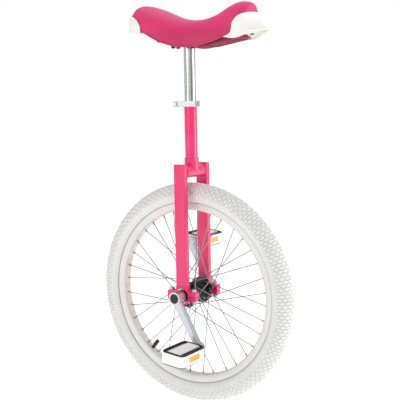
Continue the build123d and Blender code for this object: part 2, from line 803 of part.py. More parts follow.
def cushion(grow, drop):
    """The saddle's padded body as a loft, grown outwards all round, its walls run on downwards."""
    with BuildPart() as body:
        for x, half_width, edge, crown in saddle_stations:
            if x == rear_x:
                x = x - grow
            if x == front_x:
                x = x + grow
            w = half_width + grow
            low, high = plate_z + edge, plate_z + crown + grow
            rise = high - low
            with BuildSketch(Plane(origin=(x, 0, 0), x_dir=(0, 1, 0), z_dir=(1, 0, 0))):
                with BuildLine():
                    Polyline((-w, low), (-w, low - drop), (w, low - drop), (w, low))
                    Spline((w, low), (1.02 * w, low + 0.4 * rise), (0.84 * w, low + 0.78 * rise),
                           (0.45 * w, low + 0.96 * rise), (0, high), (-0.45 * w, low + 0.96 * rise),
                           (-0.84 * w, low + 0.78 * rise), (-1.02 * w, low + 0.4 * rise), (-w, low))
                make_face()
        loft()
    return body


def base_band(low, high, half_depth, back=rear_x - 20.0, front=front_x + 40.0):
    """The saddle base's side profile, from low to high above its underside, as a wide slab."""
    def curve(lift):
        return [(back, base_z + 40.0 + lift), (-85.0, base_z + 26.5 + lift),
                (-60.0, base_z + 12.5 + lift), (-46.0, base_z + lift)]

    def nose(lift):
        return [(60.0, base_z + lift), (85.0, base_z + 1.5 + lift), (118.0, base_z + 10.5 + lift),
                (front, base_z + 28.0 + lift)]
    with BuildPart() as band:
        with BuildSketch(Plane.XZ):
            with BuildLine():
                Polyline(*curve(low), *nose(low), *reversed(nose(high)), *reversed(curve(high)),
                         curve(low)[0])
            make_face()
        extrude(amount=half_depth, both=True)
    return band


def plan_outline(inset):
    """The saddle seen from above, inset from its lower edge."""
    right_edge = [(x, half_width - inset) for x, half_width, _, _ in saddle_stations]
    right_edge[0] = (right_edge[0][0] + inset, right_edge[0][1])
    right_edge[-1] = (right_edge[-1][0] - inset, right_edge[-1][1])
    return right_edge + [(x, -y) for x, y in reversed(right_edge)]


slab_half = 90.0
inner_body = cushion(-cover_thickness, 20.0)
with BuildPart() as saddle_cover:
    add(cushion(0.0, 0.5).part)
    add(inner_body.part, mode=Mode.SUBTRACT)
save(saddle_cover, "saddle_cover")

foam_room = base_band(base_thickness + soft_gap, 150.0, slab_half)
with BuildPart() as saddle_foam:
    add(cushion(-cover_thickness - soft_gap, 0.5).part)
    add(foam_room.part, mode=Mode.INTERSECT)
    with BuildSketch(Plane.XY.offset(base_z)):
        with Locations(*seat_bolt_places):
            Circle(seat_nut_r + 1.0)
    extrude(amount=base_thickness + seat_head + 1.0, mode=Mode.SUBTRACT)
save(saddle_foam, "saddle_foam")

# The lower keel stands under the front half of the base: two long walls joined by cross ribs.
keel_back_x = 48.0
keel_front_x = 137.0
keel_low_back = plate_z - 8.0
keel_low_front = plate_z + 4.0
with BuildPart() as keel_room:
    with BuildSketch(Plane.XZ):
        Polygon((keel_back_x, base_z + 0.5), (keel_back_x, keel_low_back),
                (keel_back_x + 14.0, keel_low_back + 0.5), (keel_front_x, keel_low_front),
                (keel_front_x, keel_low_front + 7.5), (keel_back_x + 62.0, base_z + 9.0),
                (keel_back_x + 36.0, base_z + 2.0), align=None)
    extrude(amount=keel_half_width, both=True)

rib_count = int((keel_front_x - keel_back_x) // keel_rib_pitch) + 1
with BuildPart() as keel_ribs:
    with Locations((0, 0, plate_z)):
        for wall_y in (-1, 1):
            with Locations((keel_back_x, wall_y * (keel_half_width - keel_wall / 2), 0)):
                Box(keel_front_x - keel_back_x, keel_wall, 60.0,
                    align=(Align.MIN, Align.CENTER, Align.CENTER))
        for rib in range(rib_count):
            with Locations((keel_back_x + rib * keel_rib_pitch, 0, 0)):
                Box(keel_wall, 2 * keel_half_width, 60.0,
                    align=(Align.MIN, Align.CENTER, Align.CENTER))

with BuildPart() as keel:
    add(keel_room.part)
    add(keel_ribs.part, mode=Mode.INTERSECT)

boss_r = 5.5
lip_roof_z = plate_z + 20.0
tail_pad_top_z = plate_z + 35.2
tail_pad_low_z = plate_z + 31.0
tail_screw_seat_z = plate_z + 33.0
tail_pad_r = 7.0
screw_pocket_r = 4.4
front_screw_places = [(front_screw_x, y) for y in (-bumper_screw_y, bumper_screw_y)]
rear_screw_places = [(rear_screw_x, y) for y in (-bumper_screw_y, bumper_screw_y)]
base_shell = base_band(0.0, base_thickness, slab_half)
boss_room = base_band(-12.0, base_thickness - 0.5, slab_half)
with BuildPart() as base_bosses:
    with BuildSketch(Plane.XY.offset(lip_roof_z + part_gap)):
        with Locations(*front_screw_places):
            Circle(boss_r)
    extrude(amount=30.0)
    with BuildSketch(Plane.XY.offset(tail_pad_top_z + part_gap)):
        with Locations(*rear_screw_places):
            Circle(boss_r)
    extrude(amount=30.0)
    add(boss_room.part, mode=Mode.INTERSECT)

with BuildPart() as saddle_base:
    with BuildSketch(Plane.XY.offset(plate_z)):
        Polygon(*plan_outline(base_edge_inset), align=None)
    extrude(amount=80.0)
    add(base_shell.part, mode=Mode.INTERSECT)
    add(keel.part)
    add(base_bosses.part)
    with BuildSketch(Plane.XY.offset(plate_z)):
        with Locations(*seat_bolt_places):
            Circle(seat_bolt_r + 0.2)
        with Locations(*front_screw_places, *rear_screw_places):
            Circle(bumper_screw_r + running_gap)
    extrude(amount=80.0, mode=Mode.SUBTRACT)
save(saddle_base, "saddle_base")

# The room that both bumpers leave free for the base.
base_clearance = base_band(-part_gap, 30.0, slab_half)
with BuildPart() as base_room:
    with BuildSketch(Plane.XY.offset(plate_z)):
        Polygon(*plan_outline(base_edge_inset - part_gap), align=None)
    extrude(amount=80.0)
    add(base_clearance.part, mode=Mode.INTERSECT)

bumper_grow = bumper_thickness + soft_gap
bumper_outer = cushion(bumper_grow, bumper_grow)
bumper_inner = cushion(soft_gap, 0.5 + soft_gap)

# The rear bumper wraps the tail and turns in below it.
tail_arch_x = -89.0
tail_top_z = plate_z + 69.0
tail_low_z = plate_z + 20.0
tail_floor_reach = 20.0
with BuildPart() as tail_room:
    with BuildSketch(Plane.XZ):
        with BuildLine():
            Polyline((tail_arch_x, tail_low_z), (tail_arch_x, plate_z + 42.0))
            Spline((tail_arch_x, plate_z + 42.0), (tail_arch_x - 11.0, plate_z + 56.0),
                   (tail_arch_x - 41.0, tail_top_z), tangents=[(0, 1), (-1, 0.15)])
            Polyline((tail_arch_x - 41.0, tail_top_z), (rear_x - 20.0, tail_top_z + 2.0),
                     (rear_x - 20.0, tail_low_z), (tail_arch_x, tail_low_z))
        make_face()
    extrude(amount=slab_half, both=True)

with BuildPart() as rear_bumper:
    add(bumper_outer.part)
    add(bumper_inner.part, mode=Mode.SUBTRACT)
    add(tail_room.part, mode=Mode.INTERSECT)
    with Locations((tail_arch_x, 0, tail_low_z)):
        Box(2 * tail_floor_reach, 2 * (bumper_screw_y + 2 * boss_r), 60.0, mode=Mode.SUBTRACT)
    with BuildSketch(Plane.XY.offset(tail_pad_low_z)):
        with Locations(*rear_screw_places):
            Circle(tail_pad_r)
    extrude(amount=tail_pad_top_z - tail_pad_low_z)
    with BuildSketch(Plane.XY.offset(tail_low_z)):
        with Locations(*rear_screw_places):
            Circle(screw_pocket_r)
    extrude(amount=tail_screw_seat_z - tail_low_z, mode=Mode.SUBTRACT)
    add(base_room.part, mode=Mode.SUBTRACT)
    with BuildSketch(Plane.XY.offset(tail_low_z - 10.0)):
        with Locations(*rear_screw_places):
            Circle(bumper_screw_r + 0.2)
    extrude(amount=60.0, mode=Mode.SUBTRACT)
save(rear_bumper, "rear_bumper")

# The front bumper caps the nose and flares below it into a lip that the rider lifts by.
nose_arch_x = 136.0
nose_top_z = plate_z + 59.0
lip_tip_z = plate_z + 22.0
with BuildPart() as nose_room:
    with BuildSketch(Plane.XZ):
        with BuildLine():
            Polyline((nose_arch_x, lip_roof_z - 4.0), (nose_arch_x, plate_z + 36.0))
            Spline((nose_arch_x, plate_z + 36.0), (nose_arch_x + 10.0, plate_z + 50.0),
                   (nose_arch_x + 28.0, plate_z + 57.0), (front_x + 20.0, nose_top_z),
                   tangents=[(0.1, 1), (1, 0.05)])
            Polyline((front_x + 20.0, nose_top_z), (front_x + 20.0, lip_roof_z - 4.0),
                     (nose_arch_x, lip_roof_z - 4.0))
        make_face()
    extrude(amount=slab_half, both=True)

with BuildPart() as lip_side:
    with BuildSketch(Plane.XZ):
        with BuildLine():
            Spline((112.0, plate_z + 8.6), (138.0, plate_z + 4.5), (165.0, plate_z + 5.6),
                   (188.0, plate_z + 11.0), (lip_front_x + 1.0, lip_tip_z - 2.0))
            Polyline((lip_front_x + 1.0, lip_tip_z - 2.0), (lip_front_x + 1.0, lip_tip_z + 0.5))
            Spline((lip_front_x + 1.0, lip_tip_z + 0.5), (182.0, lip_tip_z + 2.0),
                   (172.0, lip_tip_z + 9.0), (168.0, lip_tip_z + 20.0))
            Polyline((168.0, lip_tip_z + 20.0), (160.0, lip_tip_z + 20.0),
                     (157.0, lip_roof_z), (134.0, lip_roof_z - 3.0), (112.0, plate_z + 8.6))
        make_face()
    extrude(amount=slab_half, both=True)

lip_centre_x = lip_front_x - lip_half_width
with BuildPart() as lip:
    with BuildSketch(Plane.XY.offset(plate_z)):
        with Locations((lip_centre_x, 0)):
            Circle(lip_half_width)
        with Locations(((lip_centre_x + 112.0) / 2, 0)):
            Rectangle(lip_centre_x - 112.0, 2 * lip_half_width - 3.0)
    extrude(amount=60.0)
    add(lip_side.part, mode=Mode.INTERSECT)

finger_back_x = 143.0
finger_front_x = 192.0
finger_roof_z = lip_roof_z - lip_roof
with BuildPart() as front_bumper:
    add(bumper_outer.part)
    add(nose_room.part, mode=Mode.INTERSECT)
    add(lip.part)
    add(bumper_inner.part, mode=Mode.SUBTRACT)
    add(base_room.part, mode=Mode.SUBTRACT)
    with BuildSketch(Plane.XY.offset(finger_roof_z)):
        with Locations(((finger_back_x + finger_front_x) / 2, 0)):
            RectangleRounded(finger_front_x - finger_back_x, 2 * finger_half_width, 14.0)
    extrude(amount=-40.0, mode=Mode.SUBTRACT)
    with BuildSketch(Plane.XY.offset(plate_z - 10.0)):
        with Locations(((100.0 + keel_front_x + part_gap) / 2, 0)):
            Rectangle(keel_front_x + part_gap - 100.0, 2 * (keel_half_width + part_gap))
        with Locations(*front_screw_places):
            Circle(bumper_screw_r + 0.2)
    extrude(amount=60.0, mode=Mode.SUBTRACT)
save(front_bumper, "front_bumper")

# ---------------------------------------------------------------- bumper screws
screw_head_r = 4.0
screw_head = 2.2
with BuildPart() as bumper_screws:
    for places, seat_z, screw_length in ((front_screw_places, finger_roof_z, 8.0),
                                         (rear_screw_places, tail_screw_seat_z, 7.0)):
        with BuildSketch(Plane.XY.offset(seat_z)):
            with Locations(*places):
                Circle(screw_head_r)
        extrude(amount=-screw_head)
        with BuildSketch(Plane.XY.offset(seat_z)):
            with Locations(*places):
                Circle(bumper_screw_r)
        extrude(amount=screw_length)
save(bumper_screws, "bumper_screws")

# ---------------------------------------------------------------- cranks and pedals
crank_end_y = crank_outer_y + crank_splay
crank_dir = Vector(sin(radians(crank_angle)), 0, -cos(radians(crank_angle)))
boss_depth = crank_outer_y - crank_inner_y
square_start_y = bearing_out + 1.0


def crank_plane(side_y, y):
    """A plane across the axle at y, facing outwards, its x along the crank."""
    along = crank_dir * -side_y
    return Plane(origin=(0, side_y * y, hub_z), x_dir=tuple(along), z_dir=(0, side_y, 0))


for side_name, side_y in sides.items():
    outer = crank_plane(side_y, crank_outer_y)
    # The arm leans outwards by the splay, between the boss and the pedal eye.
    lean = Plane(origin=(0, side_y * (crank_outer_y - crank_arm_thickness / 2), hub_z),
                 x_dir=tuple(crank_dir * -side_y * crank_length + Vector(0, side_y * crank_splay, 0)),
                 z_dir=tuple(Vector(0, side_y, 0)
                             + crank_dir * side_y * (crank_splay / crank_length)))
    with BuildPart() as arm:
        with BuildSketch(lean):
            Polygon((0, -crank_arm_root / 2), (crank_length, -crank_arm_end / 2),
                    (crank_length, crank_arm_end / 2), (0, crank_arm_root / 2), align=None)
        extrude(amount=crank_arm_thickness / 2, both=True)
        fillet(arm.edges().filter_by(lambda edge: edge.length > crank_length / 2),
               crank_arm_round)

    with BuildPart() as crank:
        with BuildSketch(crank_plane(side_y, crank_inner_y)):
            Circle(crank_boss_r)
        extrude(amount=boss_depth)
        with BuildSketch(crank_plane(side_y, crank_end_y - crank_arm_thickness)):
            with Locations((crank_length, 0)):
                Circle(crank_eye_r)
        extrude(amount=crank_arm_thickness)
        add(arm.part)
        with BuildSketch(Plane(origin=(0, side_y * square_start_y, hub_z), x_dir=(1, 0, 0),
                               z_dir=(0, side_y, 0))):
            Rectangle(axle_square + 2 * press_gap, axle_square + 2 * press_gap)
        extrude(amount=axle_square_length + 1.0, taper=axle_square_taper, mode=Mode.SUBTRACT)
        with BuildSketch(Plane(origin=(0, side_y * crank_inner_y, hub_z), z_dir=(0, side_y, 0))):
            Circle(crank_bolt_r + part_gap)
        extrude(amount=boss_depth, mode=Mode.SUBTRACT)
        with BuildSketch(outer.offset(crank_splay)):
            Circle(crank_recess_r)
        extrude(amount=-crank_recess_depth - crank_splay, mode=Mode.SUBTRACT)
        with BuildSketch(crank_plane(side_y, crank_inner_y)):
            with Locations((crank_length, 0)):
                Circle(pedal_thread_r + running_gap)
        extrude(amount=2 * boss_depth, mode=Mode.SUBTRACT)
    save(crank, f"{side_name}_crank")

recess_floor_y = crank_outer_y - crank_recess_depth
with BuildPart() as crank_bolts:
    for side_y in (-1, 1):
        with BuildSketch(crank_plane(side_y, recess_floor_y)):
            Circle(crank_bolt_head_r)
        extrude(amount=crank_bolt_head)
        with BuildSketch(crank_plane(side_y, recess_floor_y)):
            Circle(crank_bolt_r)
        extrude(amount=1.0 - crank_bolt_depth)
        with BuildSketch(crank_plane(side_y, recess_floor_y + crank_bolt_head)):
            RegularPolygon(4.0, 6)
        extrude(amount=-3.0, mode=Mode.SUBTRACT)
save(crank_bolts, "crank_bolts")

with BuildPart() as dust_caps:
    for side_y in (-1, 1):
        with BuildSketch(crank_plane(side_y, crank_outer_y - dust_cap_thickness)):
            Circle(crank_recess_r - press_gap)
        extrude(amount=dust_cap_thickness - 0.2)
        with BuildSketch(crank_plane(side_y, crank_outer_y - 1.0)):
            Circle(crank_recess_r - 2.5)
            Circle(crank_recess_r - 4.0, mode=Mode.SUBTRACT)
        extrude(amount=1.0, mode=Mode.SUBTRACT)
save(dust_caps, "dust_caps")

pedal_inner_y = pedal_y - pedal_width / 2
pedal_outer_y = pedal_y + pedal_width / 2
nut_pocket = pedal_nut + pedal_cap_thickness + 2.5
shoulder_end_y = crank_end_y + pedal_shoulder
spindle_end_y = pedal_outer_y - pedal_cap_thickness - 1.0
tread_length = pedal_length - 2 * tread_inset
tread_width = pedal_width - 2 * tread_inset
tread_corner_r = pedal_corner_r - tread_inset
window_inner_x = pedal_barrel_half + 0.5
window_x = (window_inner_x + pedal_length / 2 - pedal_wall) / 2
window_length = pedal_length / 2 - pedal_wall - window_inner_x
comb_length = tread_length / 2 - tread_rim - window_inner_x
comb_x = window_inner_x + comb_length / 2
comb_bars = 16
half_height = pedal_body_height / 2


def tread_outline(play):
    """The tread ring's rounded outline, with play added outside it and taken away inside it."""
    RectangleRounded(tread_length + 2 * play, tread_width + 2 * play, tread_corner_r + play)
    RectangleRounded(tread_length - 2 * tread_rim - 2 * play, tread_width - 2 * tread_rim - 2 * play,
                     tread_corner_r - tread_rim - play, mode=Mode.SUBTRACT)


def teeth_places():
    """Tooth centres at the tooth pitch along the middle line of the tread ring."""
    places = []
    for run, reach, swap in ((tread_width, tread_length, False), (tread_length, tread_width, True)):
        middle_line = (reach - tread_rim) / 2
        count = int((run - 2 * tread_corner_r) // tooth_pitch) + 1
        for tooth in range(count):
            along = (tooth - (count - 1) / 2) * tooth_pitch
            for edge in (-middle_line, middle_line):
                places.append((along, edge) if swap else (edge, along))
    corner_x, corner_y = tread_length / 2 - tread_corner_r, tread_width / 2 - tread_corner_r
    bend_r = tread_corner_r - tread_rim / 2
    for corner in range(4):
        for share in (1, 2):
            angle = radians(90 * corner + 30 * share)
            sign_x, sign_y = (1 if corner in (0, 3) else -1), (1 if corner in (0, 1) else -1)
            places.append((sign_x * corner_x + bend_r * cos(angle),
                           sign_y * corner_y + bend_r * sin(angle)))
    return places


for side_name, side_y in sides.items():
    offset = crank_dir * (-side_y * crank_length)
    middle = Vector(offset.X, side_y * pedal_y, hub_z + offset.Z)
    tilt = radians(pedal_pitch)
    # The pedal's own frame: x forward and a little down, z up through the tread.
    pedal_plane = Plane(middle, x_dir=(cos(tilt), 0, -sin(tilt)), z_dir=(sin(tilt), 0, cos(tilt)))
    spindle_plane = Plane(Vector(middle.X, 0, middle.Z), x_dir=(1, 0, 0), z_dir=(0, side_y, 0))

    with BuildPart() as spindle:
        for start, end, radius in (
                (crank_end_y - crank_arm_thickness, crank_end_y, pedal_thread_r),
                (crank_end_y, shoulder_end_y, pedal_shoulder_r),
                (shoulder_end_y, spindle_end_y, pedal_spindle_r)):
            with BuildSketch(spindle_plane.offset(start)):
                Circle(radius)
            extrude(amount=end - start)
        for flat in (-1, 1):
            with BuildSketch(spindle_plane.offset(crank_end_y)):
                with Locations((0, flat * 2 * pedal_shoulder_r)):
                    Rectangle(4 * pedal_shoulder_r, 2 * pedal_shoulder_r + 3.0)
            extrude(amount=pedal_shoulder, mode=Mode.SUBTRACT)
    save(spindle, f"{side_name}_pedal_spindle")

    with BuildPart(pedal_plane) as pedal_body:
        with BuildSketch(pedal_plane):
            RectangleRounded(pedal_length, pedal_width, pedal_corner_r)
            with Locations((window_x, 0), (-window_x, 0)):
                RectangleRounded(window_length, pedal_width - 2 * pedal_wall, 1.5,
                                 mode=Mode.SUBTRACT)
        extrude(amount=half_height, both=True)
        with BuildSketch(pedal_plane):
            RectangleRounded(2 * pedal_barrel_half, tread_width - 2 * tread_rim - 1.0, 2.0)
        extrude(amount=pedal_barrel_height / 2, both=True)
        for face in (-1, 1):
            with BuildSketch(pedal_plane.offset(face * half_height)):
                tread_outline(press_gap)
            extrude(amount=-face * tread_bed, mode=Mode.SUBTRACT)
        with BuildSketch(spindle_plane.offset(pedal_inner_y - 1.0)):
            Circle(pedal_spindle_r + running_gap)
        extrude(amount=pedal_width + 2.0, mode=Mode.SUBTRACT)
        with BuildSketch(spindle_plane.offset(pedal_outer_y - nut_pocket)):
            Circle(pedal_cap_r)
        extrude(amount=2 * nut_pocket, mode=Mode.SUBTRACT)
        with Locations((pedal_length / 2, 0, 0), (-pedal_length / 2, 0, 0)):
            Box(2 * (reflector_depth + press_gap), reflector_length + 2 * press_gap,
                reflector_height + 2 * press_gap, mode=Mode.SUBTRACT)
    save(pedal_body, f"{side_name}_pedal_body")

    with BuildPart(pedal_plane) as treads:
        for face in (-1, 1):
            with BuildSketch(pedal_plane.offset(face * (half_height - tread_bed))):
                tread_outline(0)
                # A comb of bars reaches from the ring to the barrel over one window.
                with Locations((face * comb_x, 0)):
                    with GridLocations(1, 2 * comb_bar, 1, comb_bars):
                        Rectangle(comb_length, comb_bar)
            extrude(amount=face * tread_bed)
            with BuildSketch(pedal_plane.offset(face * half_height)):
                with Locations(*teeth_places()):
                    Circle(tooth_r)
            extrude(amount=face * tooth_height)
    save(treads, f"{side_name}_pedal_treads")

    with BuildPart(pedal_plane) as reflectors:
        with Locations((pedal_length / 2 - reflector_depth / 2, 0, 0),
                       (-pedal_length / 2 + reflector_depth / 2, 0, 0)):
            Box(reflector_depth, reflector_length, reflector_height)
    save(reflectors, f"{side_name}_pedal_reflectors")

    with BuildPart() as pedal_cap:
        with BuildSketch(spindle_plane.offset(pedal_outer_y - pedal_cap_thickness)):
            Circle(pedal_cap_r - press_gap)
        extrude(amount=pedal_cap_thickness)
    save(pedal_cap, f"{side_name}_pedal_cap")

with BuildPart() as pedal_nuts:
    for side_y in (-1, 1):
        offset = crank_dir * (-side_y * crank_length)
        with BuildSketch(Plane(Vector(offset.X, side_y * (pedal_outer_y - nut_pocket + part_gap),
                                      hub_z + offset.Z), x_dir=(1, 0, 0), z_dir=(0, side_y, 0))):
            RegularPolygon(pedal_nut_r, 6)
            Circle(pedal_spindle_r + press_gap, mode=Mode.SUBTRACT)
        extrude(amount=pedal_nut)
save(pedal_nuts, "pedal_nuts")
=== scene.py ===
"""The looks of a freestyle unicycle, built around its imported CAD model.

Metres. +Z up, +X forward, +Y to the rider's left, origin where the tyre meets the ground.
"""
import json
import math

import bmesh
import bpy
import numpy as np
from mathutils import Matrix, Vector


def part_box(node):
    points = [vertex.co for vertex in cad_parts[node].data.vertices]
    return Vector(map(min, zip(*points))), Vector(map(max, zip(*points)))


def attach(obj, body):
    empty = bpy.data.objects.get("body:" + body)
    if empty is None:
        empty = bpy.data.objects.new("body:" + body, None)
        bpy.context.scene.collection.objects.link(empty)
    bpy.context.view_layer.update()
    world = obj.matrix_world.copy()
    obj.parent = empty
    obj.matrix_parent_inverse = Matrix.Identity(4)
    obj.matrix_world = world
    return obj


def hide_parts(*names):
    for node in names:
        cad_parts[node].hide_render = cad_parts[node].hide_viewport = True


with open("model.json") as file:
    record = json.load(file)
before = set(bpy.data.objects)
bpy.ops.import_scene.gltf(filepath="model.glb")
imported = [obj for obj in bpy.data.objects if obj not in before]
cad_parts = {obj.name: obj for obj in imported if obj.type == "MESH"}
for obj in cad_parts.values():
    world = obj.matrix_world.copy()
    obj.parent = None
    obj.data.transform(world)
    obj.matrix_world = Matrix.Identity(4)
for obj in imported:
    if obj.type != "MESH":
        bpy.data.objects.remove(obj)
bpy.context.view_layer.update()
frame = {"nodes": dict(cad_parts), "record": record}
nodes = frame["nodes"]
MM = 0.001
HUB_HEIGHT = 0.254
TAU = 2 * math.pi


def corners(node):
    """Lowest and highest corner of a CAD node as numpy arrays, in metres."""
    low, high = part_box(node)
    return np.array(low), np.array(high)


# ------------------------------------------------------------------ shader maths
class Value:
    """A shader socket that takes part in Python arithmetic; each operator adds a Math node."""

    def __init__(self, paint, socket):
        self.paint, self.socket = paint, socket

    def maths(self, operation, *others):
        return self.paint.node("ShaderNodeMath", {"operation": operation},
                               dict(enumerate((self, *others))))

    def __add__(self, other):
        return self.maths("ADD", other)

    def __sub__(self, other):
        return self.maths("SUBTRACT", other)

    def __rsub__(self, other):
        return self.paint.node("ShaderNodeMath", {"operation": "SUBTRACT"}, {0: other, 1: self})

    def __mul__(self, other):
        return self.maths("MULTIPLY", other)

    def __truediv__(self, other):
        return self.maths("DIVIDE", other)

    def __pow__(self, other):
        return self.maths("POWER", other)

    __radd__ = __add__
    __rmul__ = __mul__

    def absolute(self):
        return self.maths("ABSOLUTE")

    def sine(self):
        return self.maths("SINE")

    def step(self, low, high):
        """0 below low, 1 above high and smooth between; high may be the lower one."""
        return self.paint.node("ShaderNodeMapRange",
                               {"interpolation_type": "SMOOTHSTEP", "clamp": True},
                               {"Value": self, "From Min": low, "From Max": high})


class Paint:
    """One material: its node tree, its main shader and a single way to add a node."""

    def __init__(self, name, **uniform):
        self.material = bpy.data.materials.new(name)
        self.material.use_nodes = True
        self.tree = self.material.node_tree
        self.shader = self.tree.nodes["Principled BSDF"]
        for key, value in uniform.items():
            self.shader.inputs[key.replace("_", " ")].default_value = value

    def node(self, kind, settings=(), inputs=(), out=0):
        """Adds a node: settings first, then a value or a link for each input named."""
        made = self.tree.nodes.new(kind)
        for key, value in dict(settings).items():
            if key == "stops":
                ramp = made.color_ramp
                while len(ramp.elements) < len(value):
                    ramp.elements.new(0.5)
                for element, (place, colour) in zip(ramp.elements, value):
                    element.position, element.color = place, colour
            else:
                setattr(made, key, value)
        for key, value in dict(inputs).items():
            if isinstance(value, Value):
                self.tree.links.new(value.socket, made.inputs[key])
            else:
                made.inputs[key].default_value = value
        return Value(self, made.outputs[out])

    def place(self, scale=(1, 1, 1), turn=(0, 0, 0), shift=(0, 0, 0)):
        """Object coordinates, moved, turned and scaled by a Mapping node."""
        where = self.node("ShaderNodeTexCoord", out=3)
        return self.node("ShaderNodeMapping", {},
                         {"Vector": where, "Scale": scale, "Rotation": turn, "Location": shift})

    def xyz(self, where=None):
        """The three coordinates of a place, in metres."""
        split = self.node("ShaderNodeSeparateXYZ", {}, {0: where or self.place()})
        outputs = split.socket.node.outputs
        return [Value(self, outputs[i]) for i in range(3)]

    def noise(self, scale, detail=3.0, rough=0.55, where=None):
        return self.node("ShaderNodeTexNoise", {},
                         {"Vector": where or self.place(), "Scale": scale, "Detail": detail,
                          "Roughness": rough})

    def cells(self, scale, feature="F1", where=None):
        return self.node("ShaderNodeTexVoronoi", {"feature": feature},
                         {"Vector": where or self.place(), "Scale": scale})

    def mix(self, factor, first, second):
        """A colour between first and second."""
        blend = self.node("ShaderNodeMix", {"data_type": "RGBA"},
                          {0: factor, 6: first, 7: second})
        return Value(self, blend.socket.node.outputs[2])

    def wear(self, seed_scale=60.0):
        """1 on outer edges and 0 on flats, broken up by noise."""
        point = self.node("ShaderNodeNewGeometry", out=7)
        return (point + (self.noise(seed_scale) - 0.5) * 0.12).step(0.53, 0.60)

    def use(self, **links):
        """Joins varying values to the shader's sockets."""
        for key, value in links.items():
            self.tree.links.new(value.socket, self.shader.inputs[key.replace("_", " ")])
        return self

    def bump(self, height, strength=0.3, distance=0.001):
        """Feeds a height to the shader's normal."""
        bumped = self.node("ShaderNodeBump", {},
                           {"Strength": strength, "Distance": distance, "Height": height})
        return self.use(Normal=bumped)


def rgb(red, green, blue):
    """A colour given as 0-255 screen values, made linear."""
    def linear(value):
        value /= 255
        return value / 12.92 if value <= 0.04045 else ((value + 0.055) / 1.055) ** 2.4
    return (linear(red), linear(green), linear(blue), 1.0)


def shade(colour, factor):
    """The same colour, lighter or darker."""
    return (*[min(1.0, part * factor) for part in colour[:3]], 1.0)


# ------------------------------------------------------------------ finishes
def mottled(name, colour, rough, spread=0.06, scale=40.0, bump=0.1, grain=900.0, **uniform):
    """A plain finish with soft colour drift, roughness drift and a fine grain."""
    paint = Paint(name, **uniform)
    drift = paint.noise(scale, 4.0)
    fine = paint.noise(grain, 2.0)
    worn = paint.wear()
    paint.use(Base_Color=paint.mix(drift * 0.8 + worn * 0.2, shade(colour, 1 - spread),
                                   shade(colour, 1 + spread)),
              Roughness=drift * 0.12 + fine * 0.06 + (rough - 0.09))
    return paint.bump(fine + drift * 0.3, bump, 0.0002)


def brushed(name, colour, rough, turn=(0, 0, 0), stretch=(40.0, 1500.0, 1500.0), streak=0.10):
    """Metal with fine lines along one direction, smudges, and brighter worn edges."""
    paint = Paint(name, Metallic=1.0)
    lines = paint.noise(1.0, 4.0, 0.6, paint.place(stretch, turn))
    smudge = paint.noise(55.0, 3.0)
    worn = paint.wear()
    paint.use(Base_Color=paint.mix(lines * 0.6 + smudge * 0.3 + worn * 0.3,
                                   shade(colour, 1 - streak), shade(colour, 1 + streak)),
              Roughness=lines * 0.12 + smudge * 0.12 + (rough - 0.12))
    return paint.bump(lines, 0.12, 0.0001)


def frame_paint():
    """Gloss powder coat: pink, faint orange peel, a clear top and paler rubbed edges."""
    pink = rgb(226, 30, 104)
    paint = Paint("frame_paint", Coat_Roughness=0.06, IOR=1.5)
    peel = paint.cells(420.0, "SMOOTH_F1")
    drift = paint.noise(9.0, 3.0)
    worn = paint.wear(seed_scale=150.0)
    paint.use(Base_Color=paint.mix(drift * 0.7 + worn * 0.5, shade(pink, 0.93), shade(pink, 1.12)),
              Roughness=drift * 0.10 + peel * 0.05 + 0.24,
              Coat_Weight=0.55 - drift * 0.15)
    return paint.bump(peel + paint.noise(1400.0) * 0.3, 0.10, 0.0002)


def vinyl():
    """Pink satin vinyl: pebbled leather grain, a painted highlight along the top centre and
    painted shade low down.
    """
    pink = rgb(224, 42, 112)
    paint = Paint("saddle_vinyl", IOR=1.48, Sheen_Weight=0.12, Sheen_Roughness=0.4)
    pebble = paint.cells(560.0, "SMOOTH_F1")
    crease = paint.cells(300.0, "DISTANCE_TO_EDGE")
    drift = paint.noise(14.0, 4.0)
    _, y, z = paint.xyz()
    # painted shade: the colour darkens towards the cover's lower edges, where less light falls
    low = z.step(0.862, 0.832) * 0.55
    # painted highlight: a paler pink strip along the top centre of the cover
    crown = (y.absolute()).step(0.045, 0.0) * 0.35
    tone = paint.mix(drift, shade(pink, 0.90), shade(pink, 1.10))
    tone = paint.mix(low, tone, rgb(168, 22, 74))
    paint.use(Base_Color=paint.mix(crown * 0.5, tone, rgb(226, 80, 140)),
              Roughness=drift * 0.14 + pebble * 0.10 + 0.36)
    return paint.bump(pebble * 0.7 + crease.step(0.0, 0.12) * 0.5 + paint.noise(2400.0) * 0.2,
                      0.22, 0.0004)


def tyre_rubber():
    """Off-white rubber: patchy dust, painted shade in the grooves, mould lines round the sidewall,
    a dark bead line.
    """
    paint = Paint("tyre_rubber", IOR=1.45)
    x, _, z = paint.xyz()
    above_hub = z - HUB_HEIGHT
    radius = (x * x + above_hub * above_hub) ** 0.5
    white = rgb(228, 229, 227)
    dust = paint.noise(30.0, 5.0)
    grain = paint.noise(1300.0, 3.0)
    groove = paint.node("ShaderNodeAttribute", {"attribute_name": "groove"}, {}, 2)
    lines = (radius * 2600.0).sine() * radius.step(0.229, 0.222)
    bead = (radius.step(0.2114, 0.2104)) * 0.38
    tone = paint.mix(dust, shade(white, 0.93), shade(white, 1.04))
    # painted shade: the sunk groove floors turn darker grey, as shade in a recess
    tone = paint.mix(groove * 0.55, tone, rgb(168, 168, 166))
    paint.use(Base_Color=paint.mix(bead, tone, rgb(140, 136, 132)),
              Roughness=dust * 0.15 + grain * 0.08 + 0.52)
    return paint.bump(grain * 0.5 + lines * 0.35 + dust * 0.2, 0.25, 0.0004)


